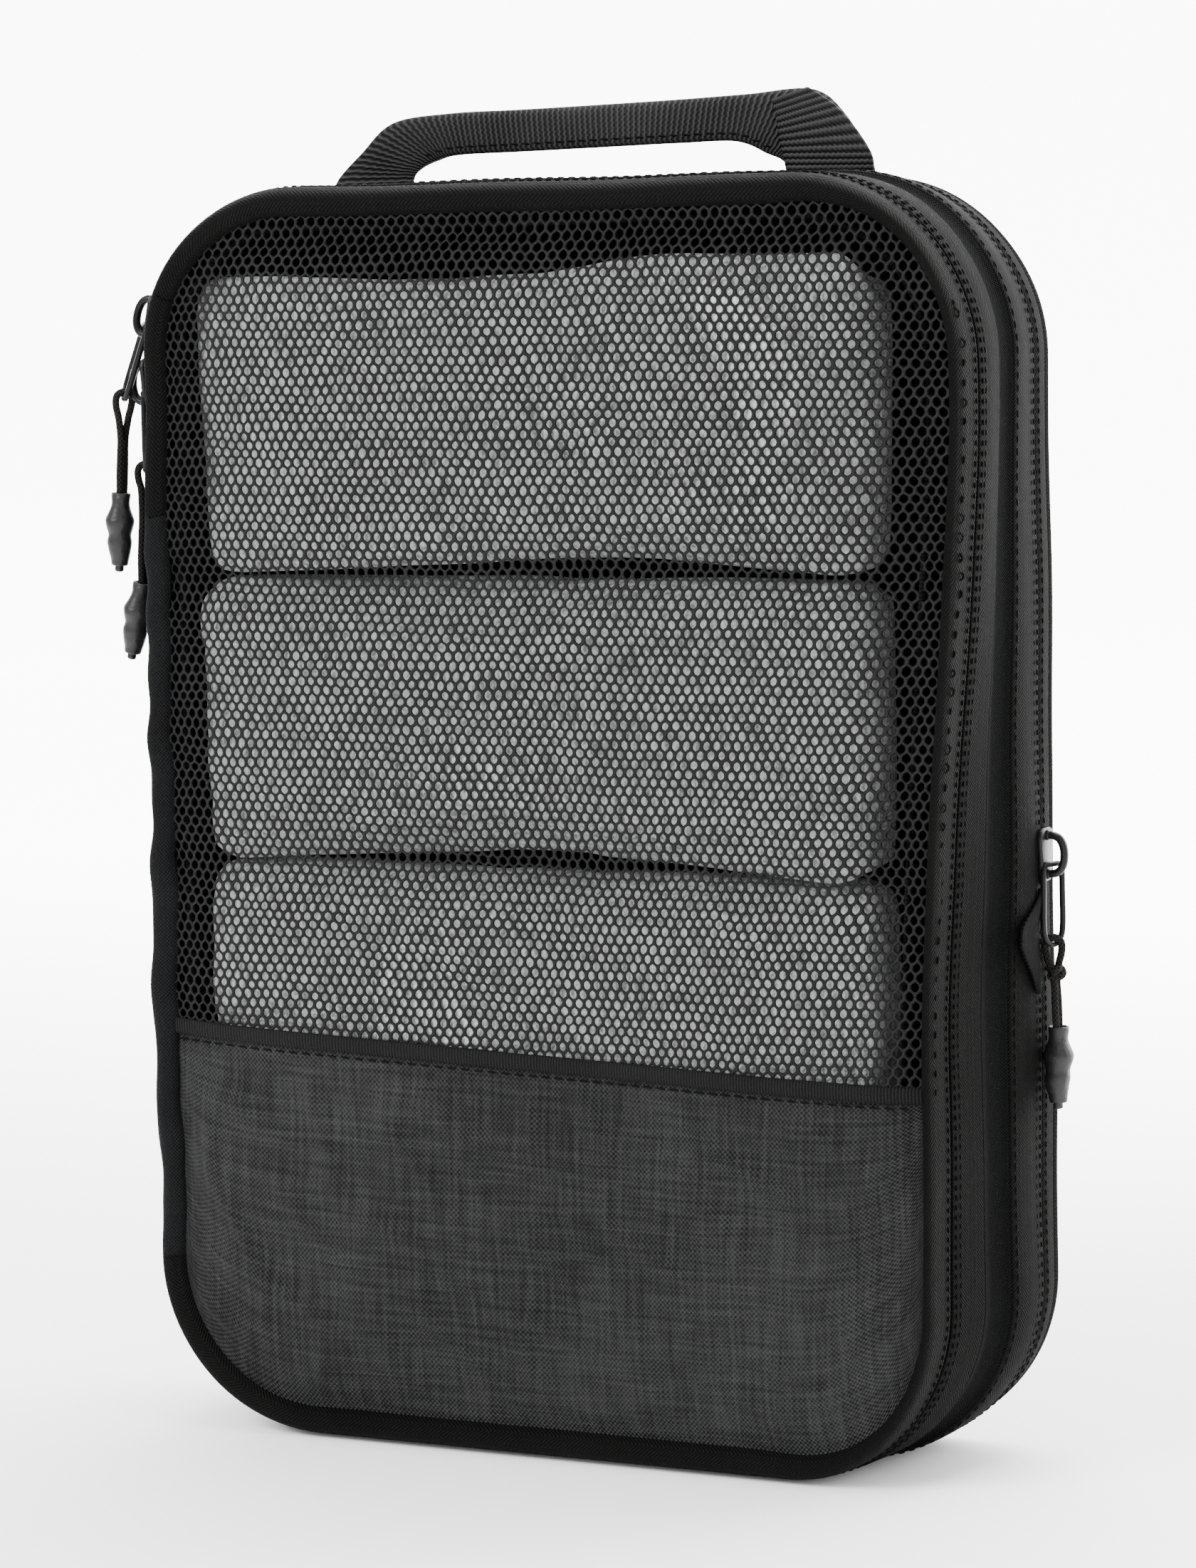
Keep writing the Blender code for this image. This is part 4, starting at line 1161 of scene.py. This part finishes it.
def wire_loop():
    """The puller's centre line in its pivot's frame: a long loop, a little wider at its foot."""
    route = ((0.0, 0.0), (0.0, 1.9), (-0.5, 2.9), (-1.8, 3.35), (-8, 3.45), (-15, 3.55), (-18.6, 3.1), (-20.6, 1.7),
             (-PULLER_LENGTH / MM, 0.0))
    half = smooth_profile([(x * MM, y * MM) for x, y in route], 4)
    points = list(half) + [(x, -y) for x, y in half[::-1][1:-1]]
    return [(x, y, 0.0) for x, y in points]


def cord_route(length, lift, tip_y):
    """Doubled over the loop's foot: up one side, round the wire and down the other."""
    wrap = 1.95 * MM
    side = 1.12 * MM
    low = -length
    points = [
        (low, -side * 0.9, lift), (low * 0.72, -side * 1.1, lift * 0.8), (low * 0.42, -side, lift * 0.5),
        (-5.2 * MM, -side, 1.0 * MM), (-2.4 * MM, -side, 1.75 * MM), (0.0, -side * 0.9, wrap),
        (wrap * 0.72, -side * 0.5, wrap * 0.72), (wrap, 0.0, 0.0), (wrap * 0.72, side * 0.5, -wrap * 0.72),
        (0.0, side * 0.9, -wrap), (-2.4 * MM, side, -1.5 * MM), (-5.2 * MM, side, -0.7 * MM),
        (low * 0.42, side, lift * 0.5), (low * 0.72, side * 1.1, lift * 0.8), (low, side * 0.9, lift),
    ]
    return smooth_profile([(x, y + tip_y * min(1.0, max(0.0, x / low)), z) for x, y, z in points], 6)


def knot(name, place, body):
    """An overhand knot drawn tight where the doubled cord leaves the wire."""
    route = []
    for t in np.linspace(0, TURN, 61)[:-1]:
        r = 1.55 * MM * (1 + 0.42 * math.cos(3 * t))
        route.append((0.92 * MM * math.sin(3 * t) * 1.2, r * math.cos(2 * t), r * math.sin(2 * t) * 0.85))
    obj = tube_mesh(name, route, 0.95 * MM, "cord", 10, closed=True)
    set_down(obj, place)
    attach(obj, body)
    return obj


def sleeve(name, place, body, node, seed):
    """Heat-shrunk tubing over the cord's knotted ends: waisted, swollen, and closed to a stub."""
    outline = ((0.9, 1.5), (0.0, 2.2), (0.0, 2.65), (1.0, 2.7), (3.2, 2.6), (5.4, 3.3), (7.4, 4.0), (9.4, 3.7),
               (11.4, 3.2), (13.4, 3.45), (15.6, 3.1), (18.0, 2.5), (19.6, 2.3), (19.8, 1.9), (19.7, 1.3),
               (21.2, 1.25), (21.6, 0.6))
    outline = smooth_profile([(d * MM, r * MM) for d, r in outline], 3)
    sides = 28
    turn = np.linspace(0, TURN, sides, endpoint=False)
    grid = np.zeros((len(outline), sides, 3))
    for k, (d, r) in enumerate(outline):
        sway = 0.45 * MM * math.sin(d / (5.5 * MM) + seed)
        grid[k] = np.stack((np.full(sides, -d), r * np.cos(turn) + sway, r * np.sin(turn)), 1)
    flat = grid.reshape(-1, 3)
    flat[:, 1:] *= (1 + 0.06 * waves(flat, 3.0 * MM, seed))[:, None]
    obj = surface(name, grid, "sleeve", outline[:, 0], np.linspace(0, 20 * MM, sides + 1), wrap_v=True, cap=True)
    set_down(obj, place)
    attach(obj, body)
    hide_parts(node)
    return obj


def zip_pull(name, side, y, z, cord_length, lift, tip_y=0.0, tilt=0.0, turn=0.0, twist=0.0, kick=0.0, knotted=False):
    """A slider, its wire puller, and a doubled cord with its sleeve.

    turn moves the slider round the top corner, tilt lifts the puller off the wall, twist turns the
    puller about its length and kick turns the sleeve away from the cord.
    """
    upright = station(side, y, z)
    corner = Matrix.Translation((side * (HALF_W - CORNER_R), y, HEIGHT - CORNER_R))
    place = corner @ Matrix.Rotation(-side * turn, 4, "Y") @ corner.inverted() @ upright
    slider(name + "_slider_shell", place, name + "_slider_body", name + "_slider")
    pivot = upright.copy()
    pivot.translation = place @ Vector((-2.5 * MM, 0, 3.1 * MM))
    hang = pivot @ Matrix.Rotation(tilt, 4, "Y")
    wire = tube_mesh(name + "_wire_loop", wire_loop(), 0.85 * MM, "metal", 14, closed=True, squash=0.85)
    set_down(wire, hang @ Matrix.Rotation(twist, 4, "X"))
    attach(wire, name + "_puller_body")
    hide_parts(name + "_puller")
    knee = hang @ Matrix.Translation((-PULLER_LENGTH, 0, 0)) @ Matrix.Rotation(-tilt, 4, "Y")
    route = cord_route(cord_length, lift, tip_y)
    world = [knee @ Vector(p) for p in route]
    line = tube_mesh(name + "_pull_cord", world, 0.98 * MM, "cord", 12)
    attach(line, name + "_cord_body")
    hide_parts(name + "_cord")
    end = knee @ Matrix.Translation((-cord_length + 0.4 * MM, tip_y, lift)) @ Matrix.Rotation(kick, 4, "Y")
    tip = sleeve(name + "_sleeve", end, name + "_cord_body", name + "_cord_tip", len(name))
    if knotted:
        at = knee @ Matrix.Translation((-7.2 * MM, 0, 0.6 * MM))
        knot(name + "_knot", at, name + "_cord_body")


def zip_pulls():
    lower_z, compression_z = 286 * MM, 160.5 * MM
    zip_pull("upper_main", -1, Y_ZIP, HEIGHT - CORNER_R, cord_length=26 * MM, lift=0.6 * MM, tip_y=-1.6 * MM,
             tilt=math.radians(21), turn=math.radians(16), twist=math.radians(38), kick=math.radians(5))
    zip_pull("lower_main", -1, Y_ZIP, lower_z, cord_length=31 * MM, lift=1.9 * MM, twist=math.radians(30),
             kick=math.radians(13))
    zip_pull("compression", 1, Y_COMP_ZIP, compression_z, cord_length=22 * MM, lift=1.0 * MM,
             twist=math.radians(-25), knotted=True)


def tape_end():
    """The zip's free end, folded over on the slant and laid against the wall under its slider."""
    low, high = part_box("compression_tape_end")
    y0, y1, z0, z1 = low.y, high.y, low.z, high.z
    count, across = 25, 9
    grid = np.zeros((count, across, 3))
    for i in range(count):
        t = i / (count - 1)
        z = z0 + (z1 - z0) * t
        if t < 0.5:
            far = y1 - 3 * MM - (y1 - y0 - 3 * MM) * (t / 0.5)
        else:
            far = y0 + (y1 - 1 * MM - y0) * smoothstep(t, 0.62, 1.0)
        for j in range(across):
            w = j / (across - 1)
            y = y1 + (far - y1) * w
            lift = 0.75 * MM + 0.5 * MM * math.sin(math.pi * w) + 0.35 * MM * math.sin(9 * t)
            grid[i, j] = (HALF_W + lift, y, z)
    obj = surface("tape_end_cloth", grid, "tape", np.linspace(0, 28 * MM, count), np.linspace(0, 13 * MM, across))
    thick = obj.modifiers.new("thickness", "SOLIDIFY")
    thick.thickness = 0.8 * MM
    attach(obj, "case_body")
    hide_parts("compression_tape_end")


# Clothes


def inflate(obj, pressure, cap, frames=20):
    """Fills a closed shape with Blender's cloth and keeps the result, moving no point more than cap."""
    rest = vertices(obj.data)
    cloth = obj.modifiers.new("fill", "CLOTH")
    settings = cloth.settings
    settings.use_pressure = True
    settings.uniform_pressure_force = pressure
    settings.quality = 5
    settings.mass = 0.2
    settings.tension_stiffness = 12
    settings.compression_stiffness = 12
    settings.bending_stiffness = 0.6
    settings.effector_weights.gravity = 0
    cloth.collision_settings.use_collision = False
    scene = bpy.context.scene
    for frame_number in range(1, frames + 1):
        scene.frame_set(frame_number)
    move = vertices(obj.evaluated_get(bpy.context.evaluated_depsgraph_get()).data) - rest
    obj.modifiers.remove(cloth)
    scene.frame_set(1)
    far = np.linalg.norm(move, axis=1)
    put_vertices(obj.data, rest + move * (np.minimum(far, cap) / np.maximum(far, 1e-9))[:, None])


def garment(name, node, look, seed, relief):
    """A folded knit garment: a soft rounded block with long wrinkles along its folds."""
    low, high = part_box(node)
    low.x, high.x = low.x - 5.4 * MM, high.x + 1.4 * MM
    size = high - low
    centre = (low + high) / 2
    bm = bmesh.new()
    bmesh.ops.create_cube(bm, size=1.0)
    bmesh.ops.scale(bm, vec=(size.x - 5 * MM, size.y - 4 * MM, size.z - 0.4 * MM), verts=bm.verts)
    bmesh.ops.bevel(bm, geom=list(bm.edges), offset=6.5 * MM, segments=4, affect="EDGES", profile=0.5)
    bmesh.ops.translate(bm, vec=centre, verts=bm.verts)
    obj = from_bmesh(name, bm, LOOKS[look])
    bpy.context.view_layer.objects.active = obj
    remesh = obj.modifiers.new("remesh", "REMESH")
    remesh.mode = "VOXEL"
    remesh.voxel_size = 4.5 * MM
    apply_modifiers(obj)
    inflate(obj, pressure=3.5, cap=4.0 * MM)
    finer = obj.modifiers.new("finer", "SUBSURF")
    finer.levels = 1
    finer.render_levels = 1
    apply_modifiers(obj)
    co = vertices(obj.data)
    front = smoothstep(-co[:, 1], -centre.y, -low.y)
    long_folds = waves(co * np.array((0.45, 1.0, 1.4)), 13 * MM, seed)
    broad = waves(co, 42 * MM, seed + 1)
    turned = co @ np.array(((0.8, 0, 0.6), (0, 1, 0), (-0.6, 0, 0.8)))
    tilt = waves(turned * np.array((0.3, 1, 1.0)), 16 * MM, seed + 2)
    net_y = front_y(co[:, 0], co[:, 2])
    depth = net_y + 0.9 * MM
    crease = (1 - np.abs(tilt)) ** 4
    depth += relief * MM * (0.9 + 0.45 * long_folds + 1.3 * broad + 0.5 * tilt + 0.9 * crease)
    reach = np.clip((centre.y - co[:, 1]) / (centre.y - co[:, 1].min()), 0, 1)
    bend = centre.y + (depth - centre.y) * reach
    behind_panel = 4.6 * MM * smoothstep(seam_z(co[:, 0]) - co[:, 2], -2 * MM, 8 * MM)
    nearest = net_y + 0.8 * MM + behind_panel
    co[:, 1] = np.where(co[:, 1] < centre.y, np.maximum(bend, nearest), co[:, 1])
    lift = np.zeros(len(co))
    for which, edge in GARMENT_GAPS:
        near = np.exp(-((co[:, 2] - edge) / (30 * MM)) ** 2)
        lift += near * (fold_z(co[:, 0], which) - edge)
    if node == "top_garment":
        heap = 4.0 * MM + 6.0 * MM * smoothstep(co[:, 0], -30 * MM, 45 * MM)
        heap += 1.2 * MM * np.sin(co[:, 0] / (17 * MM))
        lift += smoothstep(co[:, 2], 262 * MM, 312 * MM) * heap
    co[:, 2] += lift * front
    smooth(obj.data)
    put_vertices(obj.data, co)
    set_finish(obj, "garment")
    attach(obj, "case_body")
    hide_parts(node)


def apply_modifiers(obj):
    graph = bpy.context.evaluated_depsgraph_get()
    made = bpy.data.meshes.new_from_object(obj.evaluated_get(graph))
    obj.modifiers.clear()
    old = obj.data
    obj.data = made
    bpy.data.meshes.remove(old)


def garments():
    garment("top_folded_knit", "top_garment", "garment_a", 71, 2.9)
    garment("middle_folded_knit", "middle_garment", "garment_b", 81, 2.5)
    garment("lower_folded_knit", "lower_garment", "garment_a", 91, 2.5)
    garment("bottom_folded_knit", "bottom_garment", "garment_b", 97, 2.0)


# Studio


def studio():
    """A pale sweep of floor and backdrop, four soft lights and a white world."""
    bm = bmesh.new()
    reach = 6.0
    rows = []
    for y, z in ((-reach, 0), (2.2, 0), (2.8, 0.12), (3.2, 0.5), (3.4, 1.2), (3.4, 5.0)):
        rows.append([bm.verts.new((x, y, z)) for x in (-reach, reach)])
    for a, b in zip(rows, rows[1:]):
        bm.faces.new((a[0], a[1], b[1], b[0]))
    floor = from_bmesh("floor", bm, pale_floor())
    smooth(floor.data)
    for name, place, aim, size, power in (
        ("key_light", (-0.9, -1.5, 1.5), (0, 0, 0.18), 1.0, 75),
        ("fill_light", (1.5, -1.2, 0.7), (0, 0, 0.16), 1.2, 16),
        ("top_light", (0.1, 0.3, 1.6), (0, 0, 0.2), 1.1, 55),
        ("rim_light", (1.1, 0.9, 0.8), (0.1, 0, 0.2), 0.7, 10),
    ):
        data = bpy.data.lights.new(name, "AREA")
        data.shape = "SQUARE"
        data.size = size
        data.energy = power
        lamp = link(bpy.data.objects.new(name, data))
        turn = (Vector(aim) - Vector(place)).to_track_quat("-Z", "Y")
        lamp.matrix_world = Matrix.Translation(place) @ turn.to_matrix().to_4x4()
    world = bpy.data.worlds.new("studio")
    bpy.context.scene.world = world
    world.use_nodes = True
    background = world.node_tree.nodes["Background"]
    background.inputs["Color"].default_value = (1, 1, 1, 1)
    background.inputs["Strength"].default_value = 1.3


camera()
zip_pulls()
net()
lower_panel()
seam_strip()
main_zip()
side_walls()
inner_layers()
back_panel()
tape_end()
handle()
garments()
studio()
